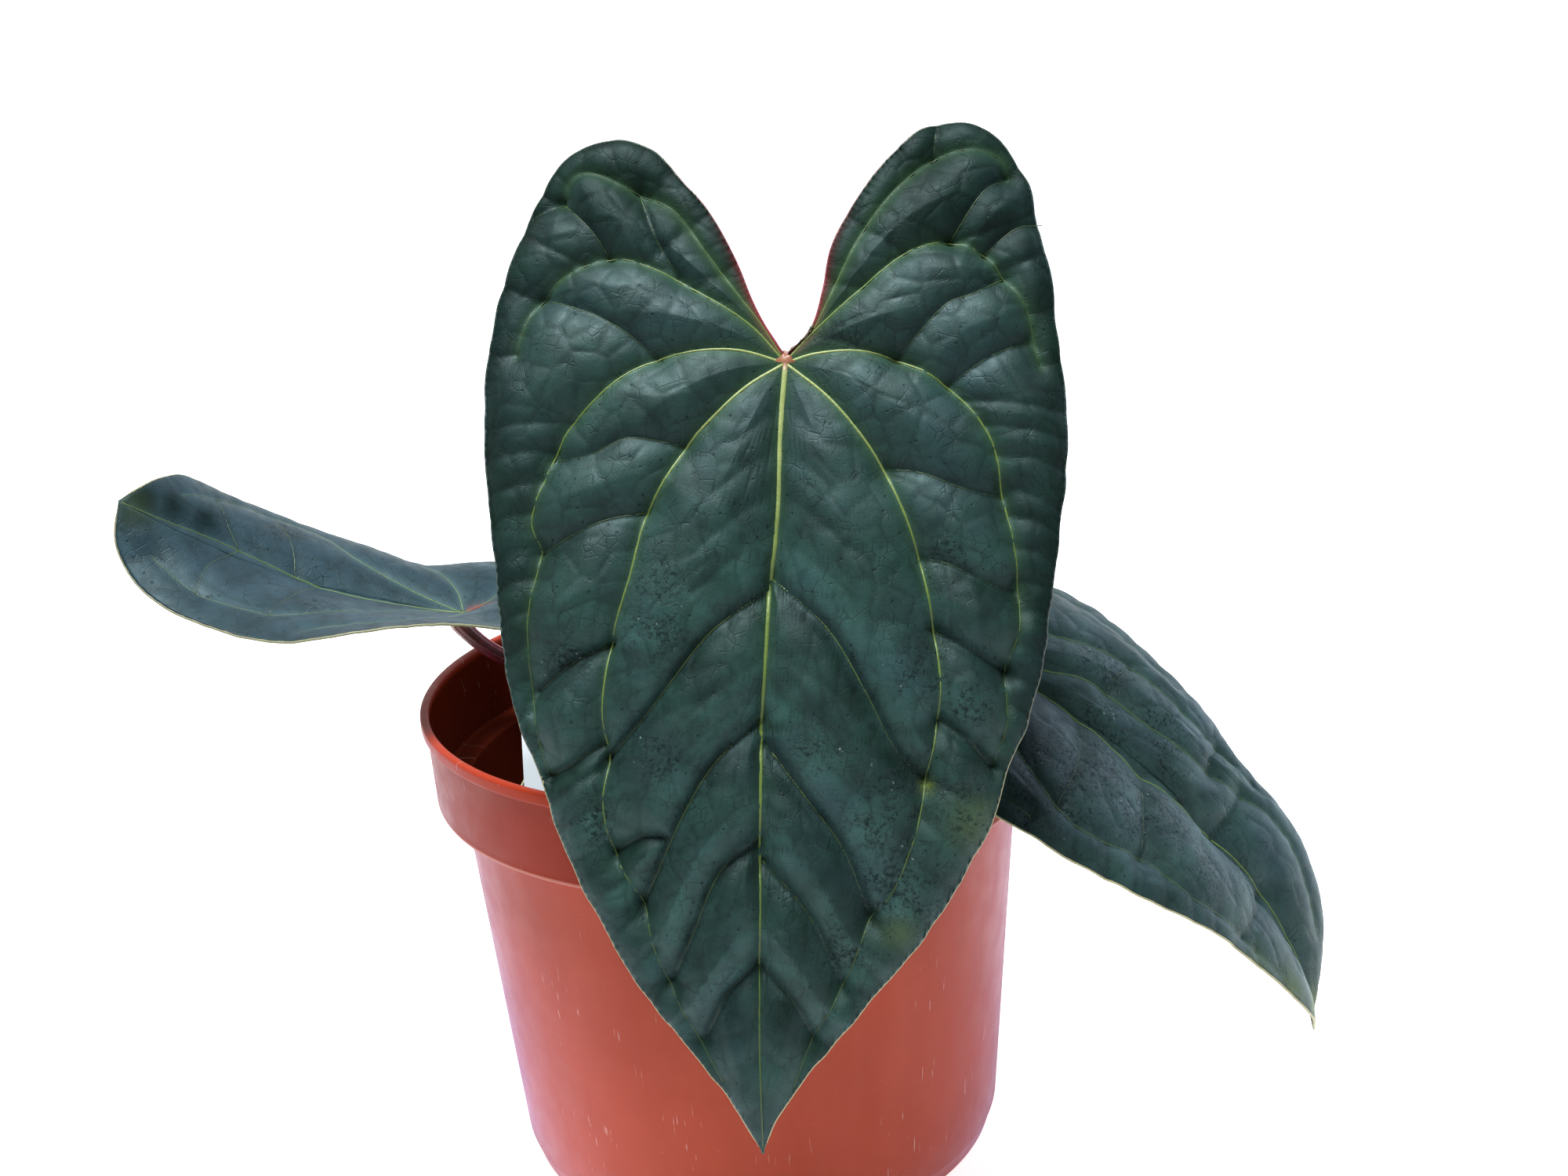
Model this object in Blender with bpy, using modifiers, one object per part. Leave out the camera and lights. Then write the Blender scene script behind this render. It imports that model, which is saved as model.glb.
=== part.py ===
# A velvet-leaved anthurium in a round plastic nursery pot.
# Metres, +Z up. The origin is the centre of the pot's flat base, and the large leaf faces -Y.

import math

import bmesh
import bpy
from mathutils import Matrix, Vector

MM = 0.001
GAP = 0.3 * MM  # left between pieces that touch

# Pot
RIM_RADIUS = 65.0 * MM
POT_HEIGHT = 102.0 * MM
LIP_HEIGHT = 2.6 * MM
LIP_PROUD = 1.0 * MM
BAND_HEIGHT = 18.8 * MM
BAND_TAPER = 0.6 * MM
BAND_STEP = 5.1 * MM  # how far the body sits inside the band
BODY_TAPER = 6.1 * MM
FOOT_HEIGHT = 4.6 * MM
FOOT_CHAMFER = 2.3 * MM
WALL = 1.5 * MM
FLOOR = 2.2 * MM
DRAIN_HOLES = 6
DRAIN_HOLE_RADIUS = 4.0 * MM
DRAIN_CIRCLE_RADIUS = 33.0 * MM

# Potting mix
SOIL_LEVEL = 50.0 * MM
SOIL_MOUND = 1.5 * MM

# Plant label, standing in the mix and leaning on nothing
LABEL_WIDTH = 16.0 * MM
LABEL_LENGTH = 92.0 * MM
LABEL_POINT = 14.0 * MM
LABEL_THICKNESS = 0.6 * MM
LABEL_DEPTH = 12.0 * MM  # how deep its point goes into the mix
LABEL_X = -34.0 * MM
LABEL_LEAN = math.radians(16.7)
LABEL_TILT = math.radians(4.6)  # to its right
LABEL_WALL_CLEARANCE = 1.7 * MM

# Crown of the plant, with its sheaths and roots
CROWN_RADIUS = 7.0 * MM
CROWN_HEIGHT = 13.0 * MM
SHEATH_THICKNESS = 0.5 * MM
SHEATH_HEIGHT = 18.0 * MM
SHEATH_FLARE = 2.6 * MM
ROOT_RADIUS = 1.4 * MM
ROOT_HEIGHT = 4.0 * MM  # where the roots leave the crown, above the mix

# Leaves
BLADE_THICKNESS = 0.8 * MM
PETIOLE_RADIUS = 1.6 * MM
PETIOLE_BASE_RADIUS = 2.1 * MM
YOUNG_PETIOLE_RADIUS = 1.0 * MM
YOUNG_PETIOLE_BASE_RADIUS = 1.4 * MM
PETIOLE_CIRCLE = 3.6 * MM  # the circle on the crown that the petioles rise from
PETIOLE_RISE = 9.0 * MM  # how far the petioles rise straight from the crown
PETIOLE_NECK = 3.0 * MM  # how far behind the blade the petiole has turned square to it

# Each blade is drawn flat, in millimetres: u to the right of the midrib and v towards the lobes, with the
# petiole's joint at 0, 0. An edge is the notch from the joint up to the lobe's inner shoulder, and a margin
# goes on from there round the lobe and down to the tip.
MAIN_LEAF = {
    "length": 138.0,
    "right_edge": [(0, 0), (4.3, 5.1), (6.1, 11.8), (7.2, 18.8), (9.7, 24.8), (14.0, 32.0), (19.0, 38.5)],
    "right_margin": [(19.0, 38.5), (23.0, 41.8), (30.0, 42.6), (36.5, 39.4), (40.5, 33.0), (43.5, 22.5),
                     (46.0, 8.0), (48.0, -7.0), (48.2, -18.0), (46.6, -36.0), (44.7, -53.0), (39.5, -69.5),
                     (34.8, -82.0), (25.6, -98.5), (16.0, -111.0), (6.5, -124.0), (2.2, -131.0), (0, -138.0)],
    "left_edge": [(0, 0), (-3.8, 5.3), (-6.4, 10.1), (-9.2, 16.6), (-14.0, 24.8), (-18.6, 30.0), (-21.5, 33.5)],
    "left_margin": [(-21.5, 33.5), (-25.0, 36.4), (-31.0, 38.0), (-38.0, 36.0), (-43.0, 30.0), (-47.5, 18.7),
                    (-50.7, 7.0), (-51.8, -6.0), (-50.8, -21.0), (-48.3, -40.0), (-45.5, -57.5), (-40.5, -71.5),
                    (-36.5, -81.5), (-30.5, -93.5), (-22.0, -108.0), (-11.5, -121.0), (-4.0, -130.5), (0, -138.0)],
}
LEFT_LEAF = {
    "length": 72.0,
    "right_edge": [(0, 0), (2.0, 3.0), (3.5, 6.5), (5.5, 10.5), (8.5, 14.5)],
    "right_margin": [(8.5, 14.5), (12.0, 17.5), (17.5, 19.0), (23.0, 16.5), (27.0, 10.0), (29.5, 1.0),
                     (31.5, -11.0), (32.5, -24.0), (29.5, -36.0), (22.0, -50.0), (15.5, -60.0), (8.5, -68.0),
                     (0, -72.0)],
    "left_edge": [(0, 0), (-2.0, 3.0), (-4.0, 7.0), (-7.0, 11.0), (-10.5, 14.5)],
    "left_margin": [(-10.5, 14.5), (-14.5, 16.0), (-19.5, 14.0), (-22.5, 8.5), (-23.5, -2.0), (-24.5, -15.0),
                    (-26.0, -28.0), (-24.5, -40.0), (-20.0, -51.0), (-16.5, -60.0), (-9.0, -67.0), (0, -72.0)],
}
RIGHT_LEAF = {
    "length": 113.0,
    "right_edge": [(0, 0), (3.0, 4.0), (5.0, 9.5), (7.5, 16.5), (12.0, 24.0), (16.0, 29.0)],
    "right_margin": [(16.0, 29.0), (21.0, 31.5), (28.0, 29.5), (34.0, 22.0), (38.0, 10.0), (39.5, -6.0),
                     (38.5, -20.0), (35.5, -32.0), (30.5, -43.0), (25.5, -53.0), (22.8, -63.5), (22.5, -74.0),
                     (21.5, -85.0), (15.0, -95.5), (6.5, -103.0), (1.5, -109.0), (0, -113.0)],
    "left_edge": [(0, 0), (-3.0, 4.0), (-5.0, 9.5), (-7.5, 16.5), (-12.0, 24.0), (-16.0, 29.0)],
    "left_margin": [(-16.0, 29.0), (-21.0, 31.5), (-27.5, 29.0), (-32.0, 21.0), (-34.5, 8.0), (-35.0, -8.0),
                    (-34.3, -22.0), (-33.5, -36.0), (-31.0, -49.0), (-27.0, -61.0), (-21.0, -74.0),
                    (-15.5, -87.0), (-10.0, -101.0), (-3.5, -109.0), (0, -113.0)],
}
YOUNG_LEAF = {
    "length": 27.0,
    "right_edge": [(0, 0), (1.2, 1.8), (2.6, 4.0), (4.0, 5.4)],
    "right_margin": [(4.0, 5.4), (6.5, 5.6), (9.0, 1.5), (10.0, -5.0), (9.0, -13.0), (5.5, -21.0), (2.0, -25.5),
                     (0, -27.0)],
    "left_edge": [(0, 0), (-1.2, 1.8), (-2.6, 4.0), (-4.0, 5.4)],
    "left_margin": [(-4.0, 5.4), (-6.5, 5.6), (-9.0, 1.5), (-10.0, -5.0), (-9.0, -13.0), (-5.5, -21.0),
                    (-2.0, -25.5), (0, -27.0)],
}

# How each blade stands: the joint, the direction of the tip and of the upper side there, then how far the
# midrib and the lobes bend back, and the fold and the curl of each half, in radians.
MAIN_STAND = {
    "joint": (12.4 * MM, 16.0 * MM - RIM_RADIUS, POT_HEIGHT + 75.4 * MM),
    "tip_way": (-0.105, -0.408, -0.907),
    "upper_way": (-0.05, -0.891, 0.454),
    "bend": 0.30, "lobe_bend": 0.35, "half_width": 48.0,
    "left_fold": 0.10, "right_fold": 0.10, "left_curl": 0.28, "right_curl": 0.28,
    "left_tip_fold": 0.0, "right_tip_fold": 0.0,
}
LEFT_STAND = {
    "joint": (9.5 * MM - RIM_RADIUS, 5.6 * MM, POT_HEIGHT + 15.7 * MM),
    "tip_way": (-0.960, -0.163, 0.226),
    "upper_way": (0.267, -0.296, 0.917),
    "bend": -0.55, "lobe_bend": 0.11, "half_width": 26.5,
    "left_fold": 0.32, "right_fold": 0.52, "left_curl": 1.0, "right_curl": -0.10,
    "left_tip_fold": 0.17, "right_tip_fold": -1.36,
}
RIGHT_JOINT_RADIUS = RIM_RADIUS - 16.8 * MM  # so that the lower margin keeps its gap to the lip
RIGHT_JOINT_TURN = math.radians(-35.1)
RIGHT_STAND = {
    "joint": (RIGHT_JOINT_RADIUS * math.cos(RIGHT_JOINT_TURN), RIGHT_JOINT_RADIUS * math.sin(RIGHT_JOINT_TURN),
              POT_HEIGHT + 14.1 * MM),
    "tip_way": (0.880, -0.293, -0.373),
    "upper_way": (0.304, -0.255, 0.918),
    "bend": 0.93, "lobe_bend": 0.20, "half_width": 41.2,
    "left_fold": 0.09, "right_fold": 0.59, "left_curl": 0.69, "right_curl": 1.16,
    "left_tip_fold": 0.19, "right_tip_fold": 0.05,
}
YOUNG_STAND = {
    "joint": (-22.0 * MM, -16.0 * MM, SOIL_LEVEL + 40.0 * MM),
    "tip_way": (-0.76, -0.62, 0.18),
    "upper_way": (0.05, -0.20, 0.98),
    "bend": 0.25, "lobe_bend": 0.2, "half_width": 10.0,
    "left_fold": 0.25, "right_fold": 0.25, "left_curl": 0.4, "right_curl": 0.4,
    "left_tip_fold": 0.0, "right_tip_fold": 0.0,
}

COLOURS = {
    "pot": ((0.42, 0.09, 0.05), 0.45),
    "soil": ((0.03, 0.02, 0.012), 0.95),
    "blade": ((0.02, 0.06, 0.045), 0.6),
    "petiole": ((0.12, 0.02, 0.02), 0.45),
    "sheath": ((0.30, 0.20, 0.10), 0.8),
    "root": ((0.45, 0.38, 0.28), 0.8),
    "label": ((0.85, 0.87, 0.90), 0.35),
}


def clear_scene():
    for old in list(bpy.data.objects):
        bpy.data.objects.remove(old, do_unlink=True)


def make_collection(name):
    collection = bpy.data.collections.new(name)
    bpy.context.scene.collection.children.link(collection)
    return collection


def give_material(obj, finish):
    colour, roughness = COLOURS[finish]
    material = bpy.data.materials.new(obj.name)
    material.use_nodes = True
    shader = material.node_tree.nodes["Principled BSDF"]
    shader.inputs["Base Color"].default_value = (*colour, 1.0)
    shader.inputs["Roughness"].default_value = roughness
    shader.inputs["Metallic"].default_value = 0.0
    obj.data.materials.append(material)


def add_object(name, data, finish):
    obj = bpy.data.objects.new(name, data)
    plant.objects.link(obj)
    give_material(obj, finish)
    return obj


def add_cutter(name, bm, matrix):
    mesh = bpy.data.meshes.new(name)
    bm.to_mesh(mesh)
    bm.free()
    cutter = bpy.data.objects.new(name, mesh)
    cutter.matrix_world = matrix
    cutter.hide_render = True
    cutter.display_type = "WIRE"
    cutters.objects.link(cutter)
    return cutter


def cut(obj, cutter):
    boolean = obj.modifiers.new(cutter.name, "BOOLEAN")
    boolean.operation = "DIFFERENCE"
    boolean.object = cutter


def turned(name, profile, finish, steps, turn=math.tau):
    bm = bmesh.new()
    points = [bm.verts.new((radius, 0.0, height)) for radius, height in profile]
    for start, end in zip(points, points[1:]):
        bm.edges.new((start, end))
    mesh = bpy.data.meshes.new(name)
    bm.to_mesh(mesh)
    bm.free()
    obj = add_object(name, mesh, finish)
    screw = obj.modifiers.new("turn", "SCREW")
    screw.angle = turn
    screw.steps = steps
    screw.render_steps = steps
    screw.use_merge_vertices = turn == math.tau
    screw.merge_threshold = 0.00001
    screw.use_smooth_shade = True
    return obj


def smooth_path(points, count):
    """Evenly stepped points of the smooth curve through the given ones."""
    points = [Vector(point) for point in points]
    ends = [2 * points[0] - points[1]] + points + [2 * points[-1] - points[-2]]
    path = []
    for step in range(count + 1):
        place = step / count * (len(points) - 1)
        first = min(int(place), len(points) - 2)
        t = place - first
        a, b, c, d = ends[first:first + 4]
        path.append(0.5 * (2 * b + (c - a) * t + (2 * a - 5 * b + 4 * c - d) * t * t
                           + (3 * b - a - 3 * c + d) * t ** 3))
    return path


def stem(name, route, finish, base_radius, end_radius, count):
    """A round stem along a smooth curve, thicker where it starts."""
    path = smooth_path(route, count)
    curve = bpy.data.curves.new(name, "CURVE")
    curve.dimensions = "3D"
    curve.bevel_depth = 1.0
    curve.bevel_resolution = 2
    curve.use_fill_caps = True
    spline = curve.splines.new("POLY")
    spline.points.add(count)
    for index, (point, place) in enumerate(zip(spline.points, path)):
        point.co = (*place, 1.0)
        point.radius = base_radius + (end_radius - base_radius) * index / count
    return add_object(name, curve, finish)


# Pot


def body_radius(height):
    """The outer radius of the pot's body at a height above its foot."""
    top = POT_HEIGHT - BAND_HEIGHT
    part_up = (height - FOOT_HEIGHT) / (top - FOOT_HEIGHT)
    return RIM_RADIUS - LIP_PROUD - BAND_TAPER - BAND_STEP - BODY_TAPER * (1 - part_up)


def add_pot():
    band_top = RIM_RADIUS - LIP_PROUD
    band_low = band_top - BAND_TAPER
    step = POT_HEIGHT - BAND_HEIGHT
    lip_inner = band_top - WALL
    edge = 0.6 * MM
    profile = [
        (0, FLOOR),
        (body_radius(FLOOR) - FOOT_CHAMFER - WALL, FLOOR),
        (body_radius(FOOT_HEIGHT) - WALL, FOOT_HEIGHT + edge),
        (body_radius(step) - WALL, step + WALL),
        (band_low - WALL, step + WALL + edge),
        (lip_inner, POT_HEIGHT - edge),
        (lip_inner + edge, POT_HEIGHT),
        (RIM_RADIUS - edge, POT_HEIGHT),
        (RIM_RADIUS, POT_HEIGHT - edge),
        (RIM_RADIUS, POT_HEIGHT - LIP_HEIGHT + edge),
        (band_top, POT_HEIGHT - LIP_HEIGHT),
        (band_low, step + edge),
        (band_low - edge, step),
        (body_radius(step), step - edge),
        (body_radius(FOOT_HEIGHT), FOOT_HEIGHT),
        (body_radius(FOOT_HEIGHT) - FOOT_CHAMFER, 0),
        (0, 0),
    ]
    pot = turned("pot", profile, "pot", 48)
    for index in range(DRAIN_HOLES):
        bm = bmesh.new()
        bmesh.ops.create_cone(bm, cap_ends=True, segments=12, radius1=DRAIN_HOLE_RADIUS,
                              radius2=DRAIN_HOLE_RADIUS, depth=3 * FLOOR)
        turn = Matrix.Rotation(math.tau * (index + 0.5) / DRAIN_HOLES, 4, "Z")
        place = turn @ Matrix.Translation((DRAIN_CIRCLE_RADIUS, 0, FLOOR / 2))
        cut(pot, add_cutter(f"drain_hole_{index + 1}", bm, place))


# Potting mix and label


def label_matrix():
    """The label's plane: its local X is its width and local Y runs up it from its point."""
    inner = body_radius(POT_HEIGHT - BAND_HEIGHT) - WALL - LABEL_WALL_CLEARANCE
    side = abs(LABEL_X) + LABEL_WIDTH / 2
    ledge_y = -math.sqrt(inner ** 2 - side ** 2)
    rise = POT_HEIGHT - BAND_HEIGHT - (SOIL_LEVEL - LABEL_DEPTH)
    foot = Vector((LABEL_X - rise * math.tan(LABEL_TILT) / math.cos(LABEL_LEAN),
                   ledge_y + rise * math.tan(LABEL_LEAN), SOIL_LEVEL - LABEL_DEPTH))
    leaning = Matrix.Rotation(math.pi / 2 + LABEL_LEAN, 4, "X")
    return Matrix.Translation(foot) @ leaning @ Matrix.Rotation(-LABEL_TILT, 4, "Z")


def soil_surface(radius):
    """The height of the mix at a distance from the axis: flat round the crown, then falling to the wall."""
    flat = CROWN_RADIUS * 2
    edge = body_radius(SOIL_LEVEL) - WALL - 2 * GAP
    return SOIL_LEVEL + SOIL_MOUND * min((edge - radius) / (edge - flat), 1.0)


def add_soil():
    bottom = FOOT_HEIGHT + WALL
    profile = [
        (0, SOIL_LEVEL + SOIL_MOUND),
        (CROWN_RADIUS * 2, SOIL_LEVEL + SOIL_MOUND),
        (body_radius(SOIL_LEVEL) - WALL - 2 * GAP, SOIL_LEVEL),
        (body_radius(bottom) - WALL - 2 * GAP, bottom),
        (body_radius(bottom) - WALL - 2 * GAP - FOOT_CHAMFER, FLOOR + GAP),
        (0, FLOOR + GAP),
    ]
    soil = turned("potting_mix", profile, "soil", 40)
    bm = bmesh.new()
    bmesh.ops.create_cube(bm, size=1.0)
    bmesh.ops.scale(bm, vec=(LABEL_WIDTH + 2 * GAP, 4 * LABEL_DEPTH, LABEL_THICKNESS + 2 * GAP), verts=bm.verts)
    bmesh.ops.translate(bm, vec=(0, 2 * LABEL_DEPTH - GAP, 0), verts=bm.verts)
    cut(soil, add_cutter("label_slot", bm, label_matrix()))


def add_label():
    half = LABEL_WIDTH / 2
    corner = 3.0 * MM
    arc = [(half - corner + corner * math.cos(turn), LABEL_LENGTH - corner + corner * math.sin(turn))
           for turn in (0.0, math.pi / 6, math.pi / 3, math.pi / 2)]
    outline = [(0, 0), (half, LABEL_POINT)] + arc + [(-x, y) for x, y in reversed(arc)] + [(-half, LABEL_POINT)]
    curve = bpy.data.curves.new("plant_label", "CURVE")
    curve.dimensions = "2D"
    curve.fill_mode = "BOTH"
    curve.extrude = LABEL_THICKNESS / 2
    spline = curve.splines.new("POLY")
    spline.points.add(len(outline) - 1)
    for point, (x, y) in zip(spline.points, outline):
        point.co = (x, y, 0, 1)
    spline.use_cyclic_u = True
    add_object("plant_label", curve, "label").matrix_world = label_matrix()


# Crown, sheaths and roots


def add_crown():
    foot = SOIL_LEVEL + SOIL_MOUND + GAP
    profile = [
        (0, foot + CROWN_HEIGHT),
        (CROWN_RADIUS * 0.85, foot + CROWN_HEIGHT),
        (CROWN_RADIUS, foot + CROWN_HEIGHT * 0.85),
        (CROWN_RADIUS * 0.9, foot + CROWN_HEIGHT * 0.5),
        (CROWN_RADIUS, foot + CROWN_HEIGHT * 0.15),
        (CROWN_RADIUS * 0.8, foot),
        (0, foot),
    ]
    turned("crown", profile, "sheath", 20)


def add_sheath(name, start, spread):
    low = SOIL_LEVEL + SOIL_MOUND + ROOT_HEIGHT + 2 * ROOT_RADIUS
    inner = CROWN_RADIUS + 2 * GAP
    profile = [
        (inner + SHEATH_FLARE, low + SHEATH_HEIGHT),
        (inner + 0.5 * SHEATH_FLARE, low + 0.6 * SHEATH_HEIGHT),
        (inner, low + 0.25 * SHEATH_HEIGHT),
        (inner, low),
    ]
    sheath = turned(name, profile, "sheath", 8, spread)
    sheath.rotation_euler.z = start
    wall = sheath.modifiers.new("wall", "SOLIDIFY")
    wall.thickness = SHEATH_THICKNESS
    wall.offset = 1.0


def add_root(name, turn, reach):
    """A root that leaves the crown and comes down on the mix."""
    out = Vector((math.cos(turn), math.sin(turn), 0))
    start = CROWN_RADIUS + GAP
    rise = Vector((0, 0, SOIL_LEVEL + SOIL_MOUND + ROOT_HEIGHT))
    end = Vector((0, 0, soil_surface(start + reach) + ROOT_RADIUS + GAP))
    route = [
        rise + out * start,
        rise + out * (start + 0.3 * reach) + Vector((0, 0, 0.6 * MM)),
        (rise + end) / 2 + out * (start + 0.65 * reach),
        end + out * (start + reach),
    ]
    stem(name, route, "root", ROOT_RADIUS, 0.8 * ROOT_RADIUS, 10)


# Leaves


def leaf_frame(stand):
    along = Vector(stand["tip_way"]).normalized()
    upper = Vector(stand["upper_way"])
    upper = (upper - along * upper.dot(along)).normalized()
    return along, upper, upper.cross(along)


def curved(stand, length, u, v):
    """Where a point of the flat blade, in millimetres, comes to lie on the bent and folded one."""
    along, upper, across = leaf_frame(stand)
    side = "left" if u < 0 else "right"
    bend = (stand["bend"] if v < 0 else stand["lobe_bend"]) / length
    way = 1 if v < 0 else -1
    turn = bend * abs(v)
    middle = along * (way * math.sin(turn) / bend) - upper * ((1 - math.cos(turn)) / bend)
    local_up = upper * math.cos(turn) + along * (way * math.sin(turn))
    curl = stand[side + "_curl"] / stand["half_width"]
    down = min(max(-v / length, 0.0), 1.0)
    fold = stand[side + "_fold"] + stand[side + "_tip_fold"] * down ** 2
    out = (math.sin(fold) - math.sin(fold - curl * abs(u))) / curl
    rise = (math.cos(fold - curl * abs(u)) - math.cos(fold)) / curl
    return Vector(stand["joint"]) + (middle + across * math.copysign(out, u) + local_up * rise) * MM


def flat_blade(leaf, part_round, part_out):
    """A point of the flat blade: part_round goes from the right notch round the tip to the left notch, and
    part_out from the joint to the margin."""
    side = "right" if part_round < 0.5 else "left"
    towards_tip = 2 * min(part_round, 1 - part_round)
    notch = leaf[side + "_edge_path"]
    rim = leaf[side + "_margin_path"]
    goal = rim[round(towards_tip * (len(rim) - 1))]
    along_notch = notch[round(part_out * (len(notch) - 1))]
    bow = along_notch - part_out * notch[-1]
    return part_out * goal + bow * (1 - towards_tip) ** 3


def add_blade(name, leaf, stand, round_steps, out_steps):
    half = round_steps // 2
    for side in ("right", "left"):
        edge = [(u, v, 0) for u, v in leaf[side + "_edge"]]
        margin = [(u, v, 0) for u, v in leaf[side + "_margin"]]
        leaf[side + "_edge_path"] = smooth_path(edge, out_steps)
        leaf[side + "_margin_path"] = smooth_path(margin, half)
    bm = bmesh.new()
    bmesh.ops.create_grid(bm, x_segments=round_steps, y_segments=out_steps, size=0.5)
    for vert in bm.verts:
        flat = flat_blade(leaf, vert.co.x + 0.5, vert.co.y + 0.5)
        vert.co = curved(stand, leaf["length"], flat.x, flat.y)
    bmesh.ops.remove_doubles(bm, verts=bm.verts, dist=0.00001)
    bmesh.ops.triangulate(bm, faces=bm.faces)
    mesh = bpy.data.meshes.new(name)
    bm.to_mesh(mesh)
    bm.free()
    mesh.shade_smooth()
    blade = add_object(name, mesh, "blade")
    wall = blade.modifiers.new("thickness", "SOLIDIFY")
    wall.thickness = BLADE_THICKNESS
    wall.offset = 0.0
    return blade


def petiole_base(turn):
    """Where a petiole starts, on the crown's top."""
    height = SOIL_LEVEL + SOIL_MOUND + CROWN_HEIGHT + 2 * GAP
    return Vector((PETIOLE_CIRCLE * math.cos(turn), PETIOLE_CIRCLE * math.sin(turn), height))


def add_petiole(name, stand, turn, way_points, base_radius=PETIOLE_BASE_RADIUS, end_radius=PETIOLE_RADIUS):
    """A petiole that rises straight from the crown, then goes through points to just behind the blade's joint.
    Each point is a share of the way to the joint, and how far it lies off that straight line."""
    upper = leaf_frame(stand)[1]
    joint = Vector(stand["joint"])
    base = petiole_base(turn)
    top = base + Vector((0, 0, PETIOLE_RISE))
    route = [base, (base + top) / 2, top]
    route += [top.lerp(joint, share) + Vector(off) * MM for share, off in way_points]
    route += [joint - upper * PETIOLE_NECK, joint - upper * (BLADE_THICKNESS / 2 + 2 * GAP)]
    stem(name, route, "petiole", base_radius, end_radius, 18)


clear_scene()
plant = make_collection("potted_anthurium")
cutters = make_collection("cutters")

add_pot()
add_soil()
add_label()
add_crown()
add_sheath("sheath_front", math.radians(-125), math.radians(115))
add_sheath("sheath_back", math.radians(60), math.radians(105))
add_root("root_left", math.radians(195), 15 * MM)
add_root("root_front", math.radians(285), 12 * MM)
add_root("root_right", math.radians(25), 17 * MM)

add_blade("leaf_main", MAIN_LEAF, MAIN_STAND, 28, 8)
add_blade("leaf_left", LEFT_LEAF, LEFT_STAND, 24, 7)
add_blade("leaf_right", RIGHT_LEAF, RIGHT_STAND, 26, 7)
add_blade("leaf_young", YOUNG_LEAF, YOUNG_STAND, 16, 4)

# Way points, with their distances off the straight line in millimetres.
add_petiole("petiole_main", MAIN_STAND, math.radians(70),
            [(0.30, (0.3, 15.3, 10.3)), (0.55, (1.5, 22.4, 12.5)), (0.80, (2.2, 13.5, 6.7)),
             (0.95, (0.8, 5.4, 0.6))])
add_petiole("petiole_left", LEFT_STAND, math.radians(160),
            [(0.20, (4.3, 1.5, 3.9)), (0.50, (1.9, 1.2, 2.3)), (0.75, (-1.0, 0.7, -1.6)),
             (0.90, (-0.8, 0.6, -3.6))])
add_petiole("petiole_right", RIGHT_STAND, math.radians(-20),
            [(0.25, (-4.0, 2.1, 5.5)), (0.60, (-2.6, 0.4, 2.8)), (0.80, (1.2, -0.8, -0.1)),
             (0.90, (0.5, -0.2, -1.7))])
add_petiole("petiole_young", YOUNG_STAND, math.radians(250),
            [(0.30, (0.5, 1.2, 1.1)), (0.75, (-4.7, -1.6, -3.5))],
            YOUNG_PETIOLE_BASE_RADIUS, YOUNG_PETIOLE_RADIUS)
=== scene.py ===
# The looks of a potted velvet-leaved anthurium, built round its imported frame.
import math
import random

import bmesh
import bpy
import numpy as np
from mathutils import Matrix, Vector, noise
from mathutils.kdtree import KDTree


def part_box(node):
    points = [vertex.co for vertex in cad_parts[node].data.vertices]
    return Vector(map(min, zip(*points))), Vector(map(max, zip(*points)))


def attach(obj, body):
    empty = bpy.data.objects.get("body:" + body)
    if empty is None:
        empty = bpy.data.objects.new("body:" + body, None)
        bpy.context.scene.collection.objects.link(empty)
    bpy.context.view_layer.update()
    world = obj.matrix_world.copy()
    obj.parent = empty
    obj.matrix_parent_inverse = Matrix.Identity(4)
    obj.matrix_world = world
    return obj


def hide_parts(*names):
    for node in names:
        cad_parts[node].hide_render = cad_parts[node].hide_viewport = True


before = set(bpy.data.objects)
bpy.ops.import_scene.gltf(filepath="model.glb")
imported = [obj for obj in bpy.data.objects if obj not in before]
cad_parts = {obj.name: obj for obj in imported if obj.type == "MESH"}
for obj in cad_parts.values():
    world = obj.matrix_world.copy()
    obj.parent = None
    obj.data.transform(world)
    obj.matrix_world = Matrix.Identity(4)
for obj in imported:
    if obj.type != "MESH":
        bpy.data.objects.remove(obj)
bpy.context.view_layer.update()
mm = 0.001
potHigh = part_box("pot")[1]
print("frame loaded")


# Small helpers

def smoothPath(points, places):
    # the smooth curve through the points, read at places from 0 to 1
    points = np.array(points, float)
    ends = np.vstack([2 * points[:1] - points[1:2], points, 2 * points[-1:] - points[-2:-1]])
    spot = np.asarray(places, float) * (len(points) - 1)
    first = np.minimum(spot.astype(int), len(points) - 2)
    t = (spot - first)[:, None]
    a, b, c, d = (ends[first + k] for k in range(4))
    square = 2 * a - 5 * b + 4 * c - d
    cube = 3 * b - a - 3 * c + d
    return 0.5 * (2 * b + (c - a) * t + square * t ** 2 + cube * t ** 3)


def evenPath(points, step):
    # the same curve, with points about one step apart
    dense = smoothPath(points, np.linspace(0, 1, 40 * len(points)))
    run = np.concatenate([[0], np.cumsum(np.linalg.norm(np.diff(dense, axis=0), axis=1))])
    places = np.linspace(0, run[-1], max(int(run[-1] / step), 2) + 1)
    return np.stack([np.interp(places, run, dense[:, axis]) for axis in range(dense.shape[1])], 1)


def treeOf(points):
    tree = KDTree(len(points))
    for index, point in enumerate(points):
        tree.insert((point[0], point[1], 0), index)
    tree.balance()
    return tree


def distances(tree, flat):
    return np.array([tree.find((u, v, 0))[2] for u, v in flat])


def addPiece(name, mesh, materials, replaced=()):
    piece = bpy.data.objects.new(name, mesh)
    bpy.context.scene.collection.objects.link(piece)
    for material in materials:
        mesh.materials.append(material)
    mesh.shade_smooth()
    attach(piece, "root")
    if replaced:
        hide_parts(*replaced)
    return piece


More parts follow.
